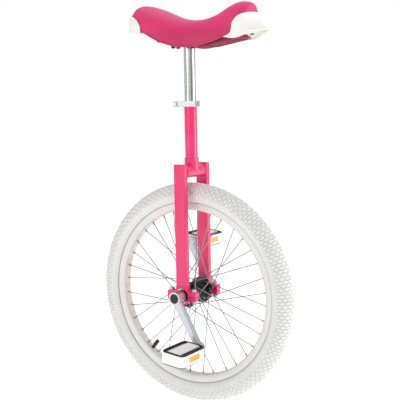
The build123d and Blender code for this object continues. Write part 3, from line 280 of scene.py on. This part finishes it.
def rim_paint():
    """Cream paint, beige on the bed that faces the hub, with brake-free faint scuffs."""
    paint = Paint("rim_paint", IOR=1.5)
    x, _, z = paint.xyz()
    above_hub = z - HUB_HEIGHT
    radius = (x * x + above_hub * above_hub) ** 0.5
    bed = radius.step(0.1955, 0.1930)
    drift = paint.noise(25.0, 4.0)
    grain = paint.noise(1100.0)
    worn = paint.wear(seed_scale=200.0)
    tone = paint.mix(drift, rgb(218, 216, 213), rgb(232, 230, 228))
    tone = paint.mix(bed, tone, rgb(205, 196, 188))
    paint.use(Base_Color=paint.mix(worn * 0.3, tone, rgb(250, 248, 244)),
              Roughness=drift * 0.12 + grain * 0.06 + 0.30, Coat_Weight=0.35 - drift * 0.2)
    return paint.bump(grain + drift * 0.4, 0.10, 0.0002)


def chrome():
    """Bright chrome with hair scratches along the tube and a few sliding scuffs."""
    paint = Paint("post_chrome", Metallic=1.0)
    scratch = paint.noise(1.0, 5.0, 0.7, paint.place((1800.0, 1800.0, 14.0)))
    fog = paint.noise(40.0, 3.0)
    rings = paint.noise(1.0, 3.0, 0.6, paint.place((20.0, 20.0, 900.0)))
    paint.use(Base_Color=paint.mix(fog * 0.6 + scratch * 0.4, rgb(222, 226, 220),
                                   rgb(246, 248, 244)),
              Roughness=scratch.step(0.52, 0.75) * 0.22 + fog * 0.08 + rings * 0.05 + 0.05)
    return paint.bump(scratch * 0.6 + rings * 0.4, 0.08, 0.0001)


def moulded(name, colour, rough, painted_shade_below=None):
    """Moulded plastic: fine spark texture, slight flow marks, optional painted shade in beige on
    faces that point down.
    """
    paint = Paint(name, IOR=1.46)
    spark = paint.cells(1500.0)
    flow = paint.noise(18.0, 4.0)
    worn = paint.wear(seed_scale=120.0)
    tone = paint.mix(flow * 0.8 + worn * 0.2, shade(colour, 0.95), shade(colour, 1.05))
    if painted_shade_below:
        # painted shade: faces that point down are tinted towards the darker beige
        facing = paint.xyz(paint.node("ShaderNodeTexCoord", out=1))[2]
        tone = paint.mix(facing.step(-0.15, -0.75) * 0.7, tone, painted_shade_below)
    paint.use(Base_Color=tone, Roughness=flow * 0.12 + spark * 0.08 + (rough - 0.1))
    return paint.bump(spark * 0.5 + flow * 0.3, 0.12, 0.0002)


def reflector():
    """Orange prism plastic: a grid of small pyramids under a gloss face."""
    paint = Paint("reflector", IOR=1.49, Coat_Roughness=0.05)
    prism = paint.cells(620.0, "F1", paint.place((1, 1, 1), (0.6, 0.3, 0.78)))
    rows = paint.cells(900.0, "DISTANCE_TO_EDGE")
    drift = paint.noise(90.0)
    paint.use(Base_Color=paint.mix(prism, rgb(252, 186, 48), rgb(232, 146, 14)),
              Roughness=rows * 0.3 + drift * 0.08 + 0.10, Coat_Weight=0.7 - drift * 0.2)
    return paint.bump(prism + rows, 0.35, 0.0003)


finishes = {
    "tyre": tyre_rubber(),
    "tube_rubber": mottled("tube_rubber", rgb(40, 40, 40), 0.7),
    "rim_tape": mottled("rim_tape", rgb(60, 60, 62), 0.75),
    "rim": rim_paint(),
    "spoke_steel": brushed("spoke_steel", rgb(150, 152, 154), 0.38, stretch=(300, 300, 300)),
    "nipple_metal": brushed("nipple_metal", rgb(176, 170, 156), 0.36, stretch=(400, 400, 400)),
    "black_rubber": mottled("black_rubber", rgb(34, 34, 36), 0.62, bump=0.2, IOR=1.45),
    "black_plastic": moulded("black_plastic", rgb(38, 38, 41), 0.42),
    "hub_metal": mottled("hub_metal", rgb(30, 30, 33), 0.34, scale=70.0, IOR=1.5,
                         Coat_Roughness=0.1),
    "axle_steel": brushed("axle_steel", rgb(150, 150, 153), 0.38, stretch=(900, 40, 900)),
    "bearing_steel": brushed("bearing_steel", rgb(178, 178, 182), 0.25, stretch=(900, 60, 900)),
    "frame_paint": frame_paint(),
    "bolt_steel": brushed("bolt_steel", rgb(184, 184, 186), 0.34, stretch=(700, 700, 250)),
    "clamp_metal": brushed("clamp_metal", rgb(186, 188, 190), 0.42, stretch=(900, 900, 60)),
    "lever_metal": brushed("lever_metal", rgb(192, 194, 196), 0.38, stretch=(50, 1200, 1200)),
    "post_chrome": chrome(),
    "black_bolt": mottled("black_bolt", rgb(44, 44, 47), 0.40, bump=0.15, IOR=1.5),
    "saddle_vinyl": vinyl(),
    "foam": mottled("foam", rgb(226, 220, 200), 0.9, bump=0.6, grain=500.0),
    "base_plastic": moulded("base_plastic", rgb(140, 16, 62), 0.42),
    # its last colour is painted shade for the bumper's downward faces
    "bumper_plastic": moulded("bumper_plastic", rgb(240, 239, 235), 0.40, rgb(206, 196, 182)),
    "crank_metal": brushed("crank_metal", rgb(196, 199, 206), 0.34, turn=(0, -1.03, 0)),
    "pedal_plastic": moulded("pedal_plastic", rgb(240, 240, 240), 0.36),
    "tread_plastic": moulded("tread_plastic", rgb(34, 34, 37), 0.45),
    "reflector": reflector(),
}
slot_of = {part["node"]: part["material_slot"] for part in frame["record"]["subparts"]}


def finish_with(piece, slot):
    """Gives a piece the one material of a slot."""
    piece.data.materials.clear()
    piece.data.materials.append(finishes[slot].material)


for label, node in nodes.items():
    finish_with(node, slot_of[label])


# ------------------------------------------------------------------ mesh making
def surface(name, points, body, slot, round_u=True, round_v=False, caps=(), sharp=None):
    """A mesh from a grid of points [u, v, xyz]: neighbours make quads, and each direction may
    close on itself. caps names the ends of v (0 or -1) that are closed by one flat face."""
    rows, columns = points.shape[:2]
    across = np.arange(rows if round_u else rows - 1)
    along = np.arange(columns if round_v else columns - 1)
    i, j = np.meshgrid(across, along, indexing="ij")
    i, j = i.ravel(), j.ravel()
    i2, j2 = (i + 1) % rows, (j + 1) % columns
    quads = np.stack([i * columns + j, i2 * columns + j, i2 * columns + j2, i * columns + j2], 1)
    faces = quads.tolist()
    for end in caps:
        column = 0 if end == 0 else columns - 1
        ring = (np.arange(rows) * columns + column).tolist()
        faces.append(ring[::-1] if end == 0 else ring)
    mesh = bpy.data.meshes.new(name)
    mesh.from_pydata(points.reshape(-1, 3).tolist(), [], faces)
    mesh.update()
    return keep(name, mesh, body, slot, sharp)


def keep(name, mesh, body, slot, sharp=None):
    """Merges doubles, turns the faces outwards, sets smooth shading and adds the piece."""
    shape = bmesh.new()
    shape.from_mesh(mesh)
    bmesh.ops.remove_doubles(shape, verts=shape.verts, dist=1e-6)
    bmesh.ops.recalc_face_normals(shape, faces=shape.faces)
    for face in shape.faces:
        face.smooth = True
    if sharp:
        for edge in shape.edges:
            edge.smooth = len(edge.link_faces) == 2 and edge.calc_face_angle(0.0) < sharp
    shape.to_mesh(mesh)
    shape.free()
    piece = bpy.data.objects.new(name, mesh)
    bpy.context.scene.collection.objects.link(piece)
    finish_with(piece, slot)
    if body:
        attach(piece, body)
    return piece


def apply_modifiers(piece):
    """Bakes a piece's modifiers into its mesh."""
    graph = bpy.context.evaluated_depsgraph_get()
    baked = bpy.data.meshes.new_from_object(piece.evaluated_get(graph))
    old = piece.data
    piece.modifiers.clear()
    piece.data = baked
    bpy.data.meshes.remove(old)


def tyre_surface():
    """A closed ring: a tyre section carried round the axle.

    Along the section, the outer arc of the tyre is followed from bead to bead and the inside
    arc back. Round the wheel, columns come in groups of five to a tread block: three on the
    block's top and two on the floor of the groove behind it. A wave of the distance across
    pushes each groove round the wheel, every other groove the opposite way, so that the blocks
    between them swell and narrow like scales. The grooves fade out low on the shoulders.
    """
    low, high = corners("tyre")
    hub = (low[2] + high[2]) / 2
    outer = (high[2] - low[2]) / 2
    section = 24.5 * MM
    middle = outer - section
    blocks = 200
    steps = np.array([0.0, 0.36, 0.68, 0.77, 0.91])
    depth_at = np.array([0.0, 0.0, 0.0, 1.0, 1.0])
    number = np.repeat(np.arange(blocks), len(steps))
    step = np.tile(steps, blocks)
    base = (number + step) / blocks * TAU
    groove = np.tile(depth_at, blocks)
    sign = np.where(number % 2 == 0, 1.0, -1.0)
    lean = sign * (2 * np.clip(step / steps[2], 0, 1) - 1)
    foot = math.radians(142.0)
    rings = np.linspace(-foot, foot, 61)
    across = rings * section
    shoulder = math.radians(112.0)
    share = np.clip((shoulder - np.abs(rings)) / math.radians(26.0), 0, 1)
    share = share * share * (3 - 2 * share)
    sway = 0.27 * np.sin(np.abs(across) / (2.1 * MM) + 0.5)
    angle = base[:, None] + lean[:, None] * sway[None, :] * TAU / blocks
    sunk = groove[:, None] * share[None, :]
    radius = section - sunk * 1.1 * MM
    outer_r = middle + radius * np.cos(rings)[None, :]
    outer_y = radius * np.sin(rings)[None, :]
    inner = np.linspace(foot, -foot, 14)
    bore = section - 4.0 * MM
    inner_r = np.tile(middle - 0.3 * MM + bore * np.cos(inner), (len(base), 1))
    inner_y = np.tile(bore * np.sin(inner), (len(base), 1))
    inner_angle = np.repeat(base[:, None], len(inner), 1)
    # beads run down from the section's feet into the rim, at fixed distances from the axle
    bead_r = np.array([210.4, 209.2, 206.5, 203.6]) * MM
    bead_y = np.array([14.6, 12.0, 12.0, 11.9]) * MM
    bead_in = np.array([8.6, 8.6]) * MM
    ones = np.ones((len(base), 1))
    right = (ones * bead_r, ones * bead_y, np.repeat(base[:, None], 4, 1))
    right_in = (ones * np.array([203.6, 207.5]) * MM, ones * bead_in,
                np.repeat(base[:, None], 2, 1))
    radii = np.concatenate([outer_r, right[0], right_in[0], inner_r, right_in[0][:, ::-1],
                            right[0][:, ::-1]], 1)
    sides = np.concatenate([outer_y, right[1], right_in[1], inner_y, -right_in[1][:, ::-1],
                            -right[1][:, ::-1]], 1)
    turns = np.concatenate([angle, right[2], right_in[2], inner_angle, right_in[2], right[2]], 1)
    points = np.stack([radii * np.cos(turns), sides, hub + radii * np.sin(turns)], -1)
    piece = surface("tyre_with_tread", points, "wheel", "tyre", True, True)
    co = np.zeros(len(piece.data.vertices) * 3)
    piece.data.vertices.foreach_get("co", co)
    co = co.reshape(-1, 3)
    from_axle = np.hypot(co[:, 0], co[:, 2] - hub)
    gone = section - np.hypot(from_axle - middle, co[:, 1])
    # how far each point is sunk into a groove, which the rubber uses for painted shade
    mark = piece.data.attributes.new("groove", "FLOAT", "POINT")
    mark.data.foreach_set("value", np.clip(gone / (1.1 * MM), 0, 1) * (from_axle > middle - 0.012))
    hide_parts("tyre")
    return piece


tyre_surface()

# ------------------------------------------------------------------ saddle form
plate_top = corners("seat_plate")[0][2]
# How square the saddle arch is at its sides and at its crown, how far its flanks bulge, and
# the seat plate height at which the nose table is written.
ARCH_SIDE, ARCH_CROWN, ARCH_BULGE = 2.9, 2.6, 0.03
NOSE_TABLE_PLATE = 0.818
# stations from tail to nose: x, half width, lower edge and crown above the seat plate, in mm
stations = np.array([
    (-139.5, 26.0, 44.0, 61.0), (-134.5, 40.0, 38.0, 71.0), (-124.0, 51.0, 34.0, 88.0),
    (-108.0, 58.5, 31.0, 93.0), (-85.0, 62.0, 27.5, 87.5), (-50.0, 60.0, 9.0, 74.0),
    (-15.0, 51.0, -4.0, 60.0), (20.0, 42.5, -8.2, 53.5), (50.0, 38.5, -5.5, 54.0),
    (85.0, 38.0, 2.0, 63.0), (118.0, 41.0, 11.0, 78.0), (140.0, 41.5, 18.0, 84.5),
    (156.0, 36.0, 21.5, 83.0), (165.0, 26.0, 25.0, 77.0), (168.5, 15.0, 30.0, 68.0)])


def eased(x, table_x, table_y):
    """Smooth values between a table's entries: cubic pieces with the slopes of neighbours."""
    slope = np.gradient(table_y, table_x)
    k = np.clip(np.searchsorted(table_x, x) - 1, 0, len(table_x) - 2)
    step = table_x[k + 1] - table_x[k]
    t = np.clip((x - table_x[k]) / step, 0, 1)
    a, b = table_y[k], table_y[k + 1]
    return ((2 * t**3 - 3 * t**2 + 1) * a + (t**3 - 2 * t**2 + t) * step * slope[k]
            + (-2 * t**3 + 3 * t**2) * b + (t**3 - t**2) * step * slope[k + 1])


def saddle_shape(along, around, grow=0.0):
    """A point of the saddle, in metres. along is x in mm and around goes from 0 at the right
    lower edge, over the crown at 0.5, to 1 at the left. Each cross section is a rounded arch: a
    power curve of the half width and the rise, pushed out by grow."""
    width = eased(along, stations[:, 0], stations[:, 1]) + grow
    low = eased(along, stations[:, 0], stations[:, 2])
    high = eased(along, stations[:, 0], stations[:, 3]) + grow
    turn = np.pi * around
    side = -np.sign(np.cos(turn)) * np.abs(np.cos(turn)) ** (2 / ARCH_SIDE)
    rise = np.sin(turn) ** (2 / ARCH_CROWN)
    bulge = 1 + ARCH_BULGE * np.sin(np.pi * np.clip(rise, 0, 1))
    return np.stack([along + 0 * around, side * width * bulge,
                     low + rise * (high - low) + plate_top / MM], -1) * MM


def base_top(x):
    """Height of the saddle base's top face above the plate's underside, in mm, along x."""
    return np.interp(x, [-162.0, -85.0, -60.0, -46.0, 60.0, 85.0, 118.0, 208.5],
                     [44.0, 30.5, 16.5, 4.0, 4.0, 5.5, 14.5, 32.0]) + 3.9


def cushion_pad():
    """The padded body: the saddle arch a little shrunk, closed below by a thin skirt that hangs
    past the base and a flat that lies on it, then blown up as cloth with its skirt held."""
    shrink, skirt = -1.6, 2.4
    along = np.concatenate([[-140.6, -138.0], np.linspace(-134.0, 160.0, 62), [164.0, 167.0]])
    around = (1 - np.cos(np.pi * np.linspace(0, 1, 41))) / 2 * 0.5 + np.linspace(0, 1, 41) * 0.5
    over = saddle_shape(along[:, None], around[None, :], shrink)
    edge = over[:, -1]
    ledge = plate_top + base_top(along) * MM
    ledge = np.maximum(ledge, edge[:, 2] + 1.5 * MM)
    below = []
    for share, height in ((1.0, 0), (1.0, 1), (0.6, 1), (0.25, 1), (-0.25, 1), (-0.6, 1),
                          (-1.0, 1), (-1.0, 0)):
        reach = edge[:, 1] - skirt * MM
        z = ledge if height else edge[:, 2]
        below.append(np.stack([along * MM, share * reach, z], -1))
    points = np.concatenate([over, np.stack(below, 1)], 1)
    points = points.transpose(1, 0, 2)
    held = np.zeros(points.shape[:2])
    held[41:] = 1
    held[:3] = held[38:41] = 1
    under_tail = np.clip((-80.0 - along) / 12.0, 0, 1)
    under_nose = np.clip((along - 120.0) / 12.0, 0, 1)
    held = np.maximum(held, np.maximum(under_tail, under_nose)[None, :])
    piece = surface("saddle_pad", points, None, "saddle_vinyl", True, False, (0, -1))
    co = np.zeros(len(piece.data.vertices) * 3)
    piece.data.vertices.foreach_get("co", co)
    rest = co.reshape(-1, 3).copy()
    grid = points.reshape(-1, 3)
    swell(piece, rest, grid, held.ravel())
    soften = piece.modifiers.new("soften", "SUBSURF")
    soften.levels = soften.render_levels = 1
    apply_modifiers(piece)
    for face in piece.data.polygons:
        face.use_smooth = True
    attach(piece, "saddle")
    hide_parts("saddle_cover", "saddle_foam")
    return piece


def swell(piece, rest, grid, held):
    """Blows the pad up as cloth with pressure; a vertex moves at most cap, and held ones stay."""
    cap = 5 * MM
    order = np.array([np.argmin(((grid - p) ** 2).sum(1)) for p in rest])
    weight = held[order]
    group = piece.vertex_groups.new(name="held")
    for level in np.unique(weight[weight > 0]):
        group.add(np.flatnonzero(weight == level).tolist(), float(level), "REPLACE")
    cloth = piece.modifiers.new("cloth", "CLOTH")
    cloth.settings.use_pressure = True
    cloth.settings.uniform_pressure_force = 4.0
    cloth.settings.effector_weights.gravity = 0
    cloth.settings.vertex_group_mass = "held"
    cloth.settings.tension_stiffness = cloth.settings.compression_stiffness = 25
    cloth.settings.quality = 6
    cloth.collision_settings.use_collision = False
    for step in range(1, 21):
        bpy.context.scene.frame_set(step)
    apply_modifiers(piece)
    bpy.context.scene.frame_set(1)
    co = np.zeros(len(piece.data.vertices) * 3)
    piece.data.vertices.foreach_get("co", co)
    move = co.reshape(-1, 3) - rest
    length = np.linalg.norm(move, axis=1, keepdims=True)
    move *= np.minimum(1, cap / np.maximum(length, 1e-9))
    piece.data.vertices.foreach_set("co", (rest + move).ravel())
    piece.data.update()


cushion_pad()


def tube(name, path, radius, body, slot, sides=14):
    """A round tube along a path: circles in the planes across it, its two ends closed."""
    path = np.asarray(path, float)
    run = np.gradient(path, axis=0)
    run /= np.linalg.norm(run, axis=1, keepdims=True)
    first = np.cross(run, [0, 0, 1.0])
    flat = np.linalg.norm(first, axis=1) < 1e-6
    first[flat] = [0, 1.0, 0]
    first /= np.linalg.norm(first, axis=1, keepdims=True)
    second = np.cross(first, run)
    turn = np.arange(sides)[:, None, None] / sides * TAU
    radii = np.broadcast_to(radius, len(path))[None, :, None]
    points = path + radii * (np.cos(turn) * first + np.sin(turn) * second)
    return surface(name, points, body, slot, True, False, (0, -1), math.radians(50))


# the rolled hem along both lower edges of the cover
hem_x = np.linspace(-90.0, 139.0, 90)
for side, around in (("right", 0.0), ("left", 1.0)):
    line = saddle_shape(hem_x, around, -1.9)
    line[:, 2] += 1.2 * MM
    tube(f"{side}_hem", line, 1.9 * MM, "saddle", "saddle_vinyl", 12)


def half_width_at(x, height, grow):
    """The saddle's half width in mm at x and at a height above the seat plate: the inverse of
    the arch, and 0 above its crown."""
    x = np.clip(x, stations[0, 0], stations[-1, 0])
    width = eased(x, stations[:, 0], stations[:, 1]) + grow
    low = eased(x, stations[:, 0], stations[:, 2])
    high = eased(x, stations[:, 0], stations[:, 3]) + grow
    share = np.clip((height - low) / (high - low), 0, 1)
    sine = np.clip(share ** (ARCH_CROWN / 2), 0, 1)
    return (width * (1 - sine**2) ** (1 / ARCH_SIDE)
            * (1 + ARCH_BULGE * np.sin(np.pi * share)))


def tail_bumper():
    """A wall round the tail: for each direction in plan from a point inside the tail, the
    distance out to the swollen saddle outline at each height, smoothed, from a slanting lower
    edge up to an arched top edge; the wall goes back down inside it."""
    turns = np.radians(np.linspace(90, 270, 97))
    heights = np.linspace(0, 1, 25)
    reach = np.linspace(4, 90, 430)
    start = -89.0
    flat_r = np.where(np.abs(np.cos(turns)) > 1e-3, 56.0, 62.0)
    guess_x = start + flat_r * np.cos(turns)
    top = eased(guess_x, np.array([-146.0, -138.0, -128.0, -116.0, -104.0, -96.0, -91.0, -88.0]),
                np.array([68.0, 69.5, 69.0, 66.0, 60.0, 53.0, 45.0, 38.0]))
    bottom = eased(guess_x, stations[:, 0], stations[:, 2]) - 3.0
    height = bottom[:, None] + (top - bottom)[:, None] * heights[None, :]
    x = start + reach[None, None, :] * np.cos(turns)[:, None, None]
    y = np.abs(reach[None, None, :] * np.sin(turns)[:, None, None])
    inside = (y < half_width_at(x, height[:, :, None], 3.2)) & (x > -143.0)
    far = reach[np.clip(inside.sum(2) - 1, 0, len(reach) - 1)]
    kernel = np.hanning(13)
    kernel /= kernel.sum()
    padded = np.concatenate([far[6:0:-1], far, far[-2:-8:-1]])
    far = np.apply_along_axis(lambda row: np.convolve(row, kernel, "valid"), 0, padded)
    bead = 0.5 * np.sin(np.pi * np.clip(heights * 8, 0, 1)) + 0.5 * np.sin(
        np.pi * np.clip((1 - heights) * 8, 0, 1))
    outer = far - 0.6 + 0.6 * bead[None, :]
    inner = far - 2.8
    loops_r = np.concatenate([outer, inner[:, ::-1]], 1)
    loops_z = np.concatenate([height, height[:, ::-1]], 1)
    points = np.stack([start + loops_r * np.cos(turns)[:, None],
                       loops_r * np.sin(turns)[:, None], loops_z + plate_top / MM], -1) * MM
    piece = surface("tail_bumper", points.transpose(1, 0, 2), "saddle", "bumper_plastic",
                    True, False, (0, -1), math.radians(50))
    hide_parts("rear_bumper")
    return piece


def nose_bumper():
    """A cap round the nose that flares into a lifting lip. Stations run from the wedge on the
    right side round the nose to the left. At each, a curve with one pull point leaves the top
    edge, bends outwards to the lip's rim, turns under to a lower edge and comes back up 3 mm
    inside."""
    # mm: top edge x y z, pull point x y z, rim x y z, lower edge x y z
    half = np.array([
        (112.0, 38.5, 828.6, 112.0, 39.0, 828.0, 112.0, 39.2, 827.4, 112.0, 38.2, 826.6),
        (122.0, 40.2, 831.0, 122.0, 40.6, 829.6, 122.0, 40.6, 828.0, 122.0, 38.8, 824.4),
        (131.5, 42.6, 834.6, 131.5, 42.6, 831.0, 132.0, 42.2, 827.5, 132.5, 40.5, 822.5),
        (135.2, 44.0, 843.0, 136.0, 44.0, 834.0, 139.0, 42.6, 829.0, 140.0, 40.0, 822.8),
        (138.2, 44.5, 855.5, 141.0, 44.8, 838.0, 150.0, 41.8, 830.5, 150.5, 39.2, 824.8),
        (149.0, 42.4, 867.5, 153.0, 42.8, 842.0, 165.0, 37.5, 833.8, 164.5, 35.2, 829.5),
        (160.5, 34.0, 873.6, 165.0, 33.0, 846.0, 182.0, 27.5, 837.4, 180.5, 25.8, 834.2),
        (169.0, 19.0, 876.2, 172.0, 18.0, 848.5, 195.0, 14.5, 840.0, 193.0, 13.6, 837.6),
        (171.6, 0.0, 877.0, 174.5, 0.0, 849.0, 201.4, 0.0, 841.0, 199.0, 0.0, 838.8)])
    whole = np.concatenate([half * np.tile([1, -1, 1], 4), half[-2::-1]])
    place = np.linspace(0, len(whole) - 1, 129)
    index = np.arange(len(whole), dtype=float)
    table = np.stack([eased(place, index, whole[:, c]) for c in range(12)], 1).reshape(-1, 4, 3)
    top, pull, rim, under = (table[:, k] for k in range(4))
    t = np.linspace(0, 1, 22)[None, :, None]
    face = ((1 - t) ** 2 * top[:, None] + 2 * t * (1 - t) * pull[:, None] + t**2 * rim[:, None])
    edge = np.linspace(0.12, 1, 6)[None, :, None]
    inwards = np.array([156.0, 0.0, 0.0]) - rim
    inwards[:, 2] = 0
    inwards /= np.linalg.norm(inwards, axis=1, keepdims=True)
    slope = rim[:, None] * (1 - edge) + under[:, None] * edge
    slope[:, :, 2] -= 1.2 * np.sin(np.pi * edge[:, :, 0])
    lip_in = np.stack([under + inwards * 3.0, under + inwards * 3.2 + [0, 0, 3.0]], 1)
    back = face[:, ::-1] + inwards[:, None] * 3.0
    wanted = lip_in[:, 1:2, 2]
    back[:, :, 2] = np.maximum(back[:, :, 2], wanted)
    points = np.concatenate([face, slope, lip_in, back], 1) * MM
    shift = plate_top - NOSE_TABLE_PLATE
    points[:, :, 2] += shift
    piece = surface("nose_bumper", points.transpose(1, 0, 2), "saddle", "bumper_plastic",
                    True, False, (0, -1), math.radians(55))
    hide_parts("front_bumper")
    # The brim is closed from below by a shell that spans from rim to rim, arched up between
    # them over the finger recess.
    across = np.linspace(-1, 1, 33)
    rail = np.linspace(3, len(half) - 1.02, 40)
    rows = np.arange(len(half), dtype=float)
    x, y, z = (eased(rail, rows, half[:, c]) for c in (9, 10, 11))
    arch = 8.0 * (1 - across**4)
    ends = np.clip((202.0 - x) / 30.0, 0, 1)[:, None]
    low = np.stack([x[:, None] + 0 * across, y[:, None] * across * 0.94,
                    z[:, None] + 1.2 + arch * ends], -1)
    sheet = np.concatenate([low, low[:, ::-1] + [0, 0, 1.6]], 1) * MM
    sheet[:, :, 2] += shift
    closing = surface("nose_underside", sheet.transpose(1, 0, 2), "saddle", "bumper_plastic",
                      True, False, (0, -1), math.radians(55))
    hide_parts("front_bumper")
    return piece


tail_bumper()
nose_bumper()


def weld(name, path, size, body):
    """A run of weld: a tube whose thickness ripples like laid coins along the joint."""
    path = np.asarray(path, float)
    length = np.concatenate([[0], np.cumsum(np.linalg.norm(np.diff(path, axis=0), axis=1))])
    ripple = size * (1 + 0.14 * np.sin(length / (1.15 * MM)))
    return tube(name, path, ripple, body, "frame_paint", 10)


tube_low, tube_high = corners("crown_tube")
crown = (tube_low + tube_high) / 2
crown_r = (tube_high[2] - tube_low[2]) / 2
ring_turn = np.linspace(0, TAU, 220)
for side, y in (("right", tube_low[1]), ("left", tube_high[1])):
    lie = y - math.copysign(0.4 * MM, y)
    circle = np.stack([crown[0] + (crown_r + 0.2 * MM) * np.cos(ring_turn), 0 * ring_turn + lie,
                       crown[2] + (crown_r + 0.2 * MM) * np.sin(ring_turn)], -1)
    weld(f"{side}_crown_weld", circle, 1.5 * MM, "frame")
lug_high = corners("crown_lug")[1]
lug_r = lug_high[0]
saddle_line = np.sqrt(np.maximum(crown_r**2 - (lug_r * np.cos(ring_turn)) ** 2, 0))
seam = np.stack([lug_r * np.cos(ring_turn), lug_r * np.sin(ring_turn), crown[2] + saddle_line], -1)
weld("lug_weld", seam, 1.3 * MM, "frame")
for side, sign in (("right", -1), ("left", 1)):
    leg_low, leg_high = corners(f"{side}_leg")
    mid_y = (leg_low[1] + leg_high[1]) / 2
    wide, deep = (leg_high[0] - leg_low[0]) / 2, (leg_high[1] - leg_low[1]) / 2
    turn = ring_turn
    around = np.stack([wide * np.sign(np.cos(turn)) * np.abs(np.cos(turn)) ** 0.28,
                       mid_y + deep * np.sign(np.sin(turn)) * np.abs(np.sin(turn)) ** 0.28,
                       0 * turn + leg_low[2]], -1)
    weld(f"{side}_leg_weld", around, 1.2 * MM, "frame")

# ------------------------------------------------------------------ camera, floor and light
centre = Vector((-0.5405, 0.8340, -0.1112)).normalized()
level = centre.cross(Vector((0, 0, 1))).normalized()
raised = level.cross(centre)
roll = math.radians(-1.126)
right_way = math.cos(roll) * level + math.sin(roll) * raised
up_way = -math.sin(roll) * level + math.cos(roll) * raised
lens = bpy.data.cameras.new("camera")
lens.lens, lens.sensor_width = 76.87, 36
lens.clip_end = 50
camera = bpy.data.objects.new("camera", lens)
turned = Matrix((right_way, up_way, -centre)).transposed().to_4x4()
camera.matrix_world = Matrix.Translation((1.0689, -1.6177, 0.6843)) @ turned
bpy.context.scene.collection.objects.link(camera)
bpy.context.scene.camera = camera

floor_half = 14.0
floor_mesh = bpy.data.meshes.new("floor")
floor_mesh.from_pydata([(-floor_half, -floor_half, -0.0005), (floor_half, -floor_half, -0.0005),
                        (floor_half, floor_half, -0.0005), (-floor_half, floor_half, -0.0005)],
                       [], [(0, 1, 2, 3)])
floor = bpy.data.objects.new("floor", floor_mesh)
bpy.context.scene.collection.objects.link(floor)
floor_paint = Paint("floor", Base_Color=(1, 1, 1, 1), Roughness=0.95, Emission_Color=(1, 1, 1, 1),
                    Emission_Strength=0.42)
floor.data.materials.append(floor_paint.material)

# The studio: white where the camera looks past the object. For light, paler above and to the
# front, with two darker bands that give metal something to reflect.
world = bpy.data.worlds.new("studio")
bpy.context.scene.world = world
bpy.context.scene.view_settings.view_transform = "Standard"
world.use_nodes = True


class Sky(Paint):
    """The world's node tree, with the same way to add nodes."""

    def __init__(self, made):
        self.tree = made.node_tree
        self.shader = self.tree.nodes["Background"]


sky = Sky(world)
way = sky.node("ShaderNodeTexCoord", out=0)
east, north, height = sky.xyz(way)
side_on = east * 0.834 + north * 0.551
fronting = (east * 0.551 - north * 0.834).step(-0.15, 0.25)
band = ((side_on - 0.46).absolute().step(0.24, 0.10) * fronting
        + (side_on + 0.5).absolute().step(0.16, 0.05) * (1 - fronting))
glow = height.step(-0.3, 0.9) * 0.30 + 0.47 - band * 0.40
seen = sky.node("ShaderNodeLightPath")
strength = seen + (1 - seen) * glow
world.node_tree.nodes["Background"].inputs["Color"].default_value = (1, 1, 1, 1)
sky.use(Strength=strength)


def soft_light(name, place, aim, size, power, tall=None):
    """A soft light at place, turned to face aim: square, or tall by its height."""
    lamp = bpy.data.lights.new(name, "AREA")
    lamp.shape, lamp.size, lamp.size_y, lamp.energy = "RECTANGLE", size, tall or size, power
    holder = bpy.data.objects.new(name, lamp)
    away = (Vector(aim) - Vector(place)).normalized()
    facing = away.to_track_quat("-Z", "Y").to_matrix().to_4x4()
    holder.matrix_world = Matrix.Translation(place) @ facing
    bpy.context.scene.collection.objects.link(holder)


soft_light("key", (2.4, -0.2, 1.9), (0, 0, 0.5), 1.5, 9)
soft_light("right_strip", (2.3, 1.1, 0.75), (0, 0, 0.6), 0.7, 19, 1.4)
soft_light("left_strip", (-0.85, -2.5, 0.75), (0, 0, 0.6), 0.22, 6, 1.4)
soft_light("front", (-0.2, -2.8, 1.6), (0, 0, 0.5), 1.6, 5)
soft_light("top", (-0.3, 0.3, 3.0), (0, 0, 0.5), 2.2, 11)
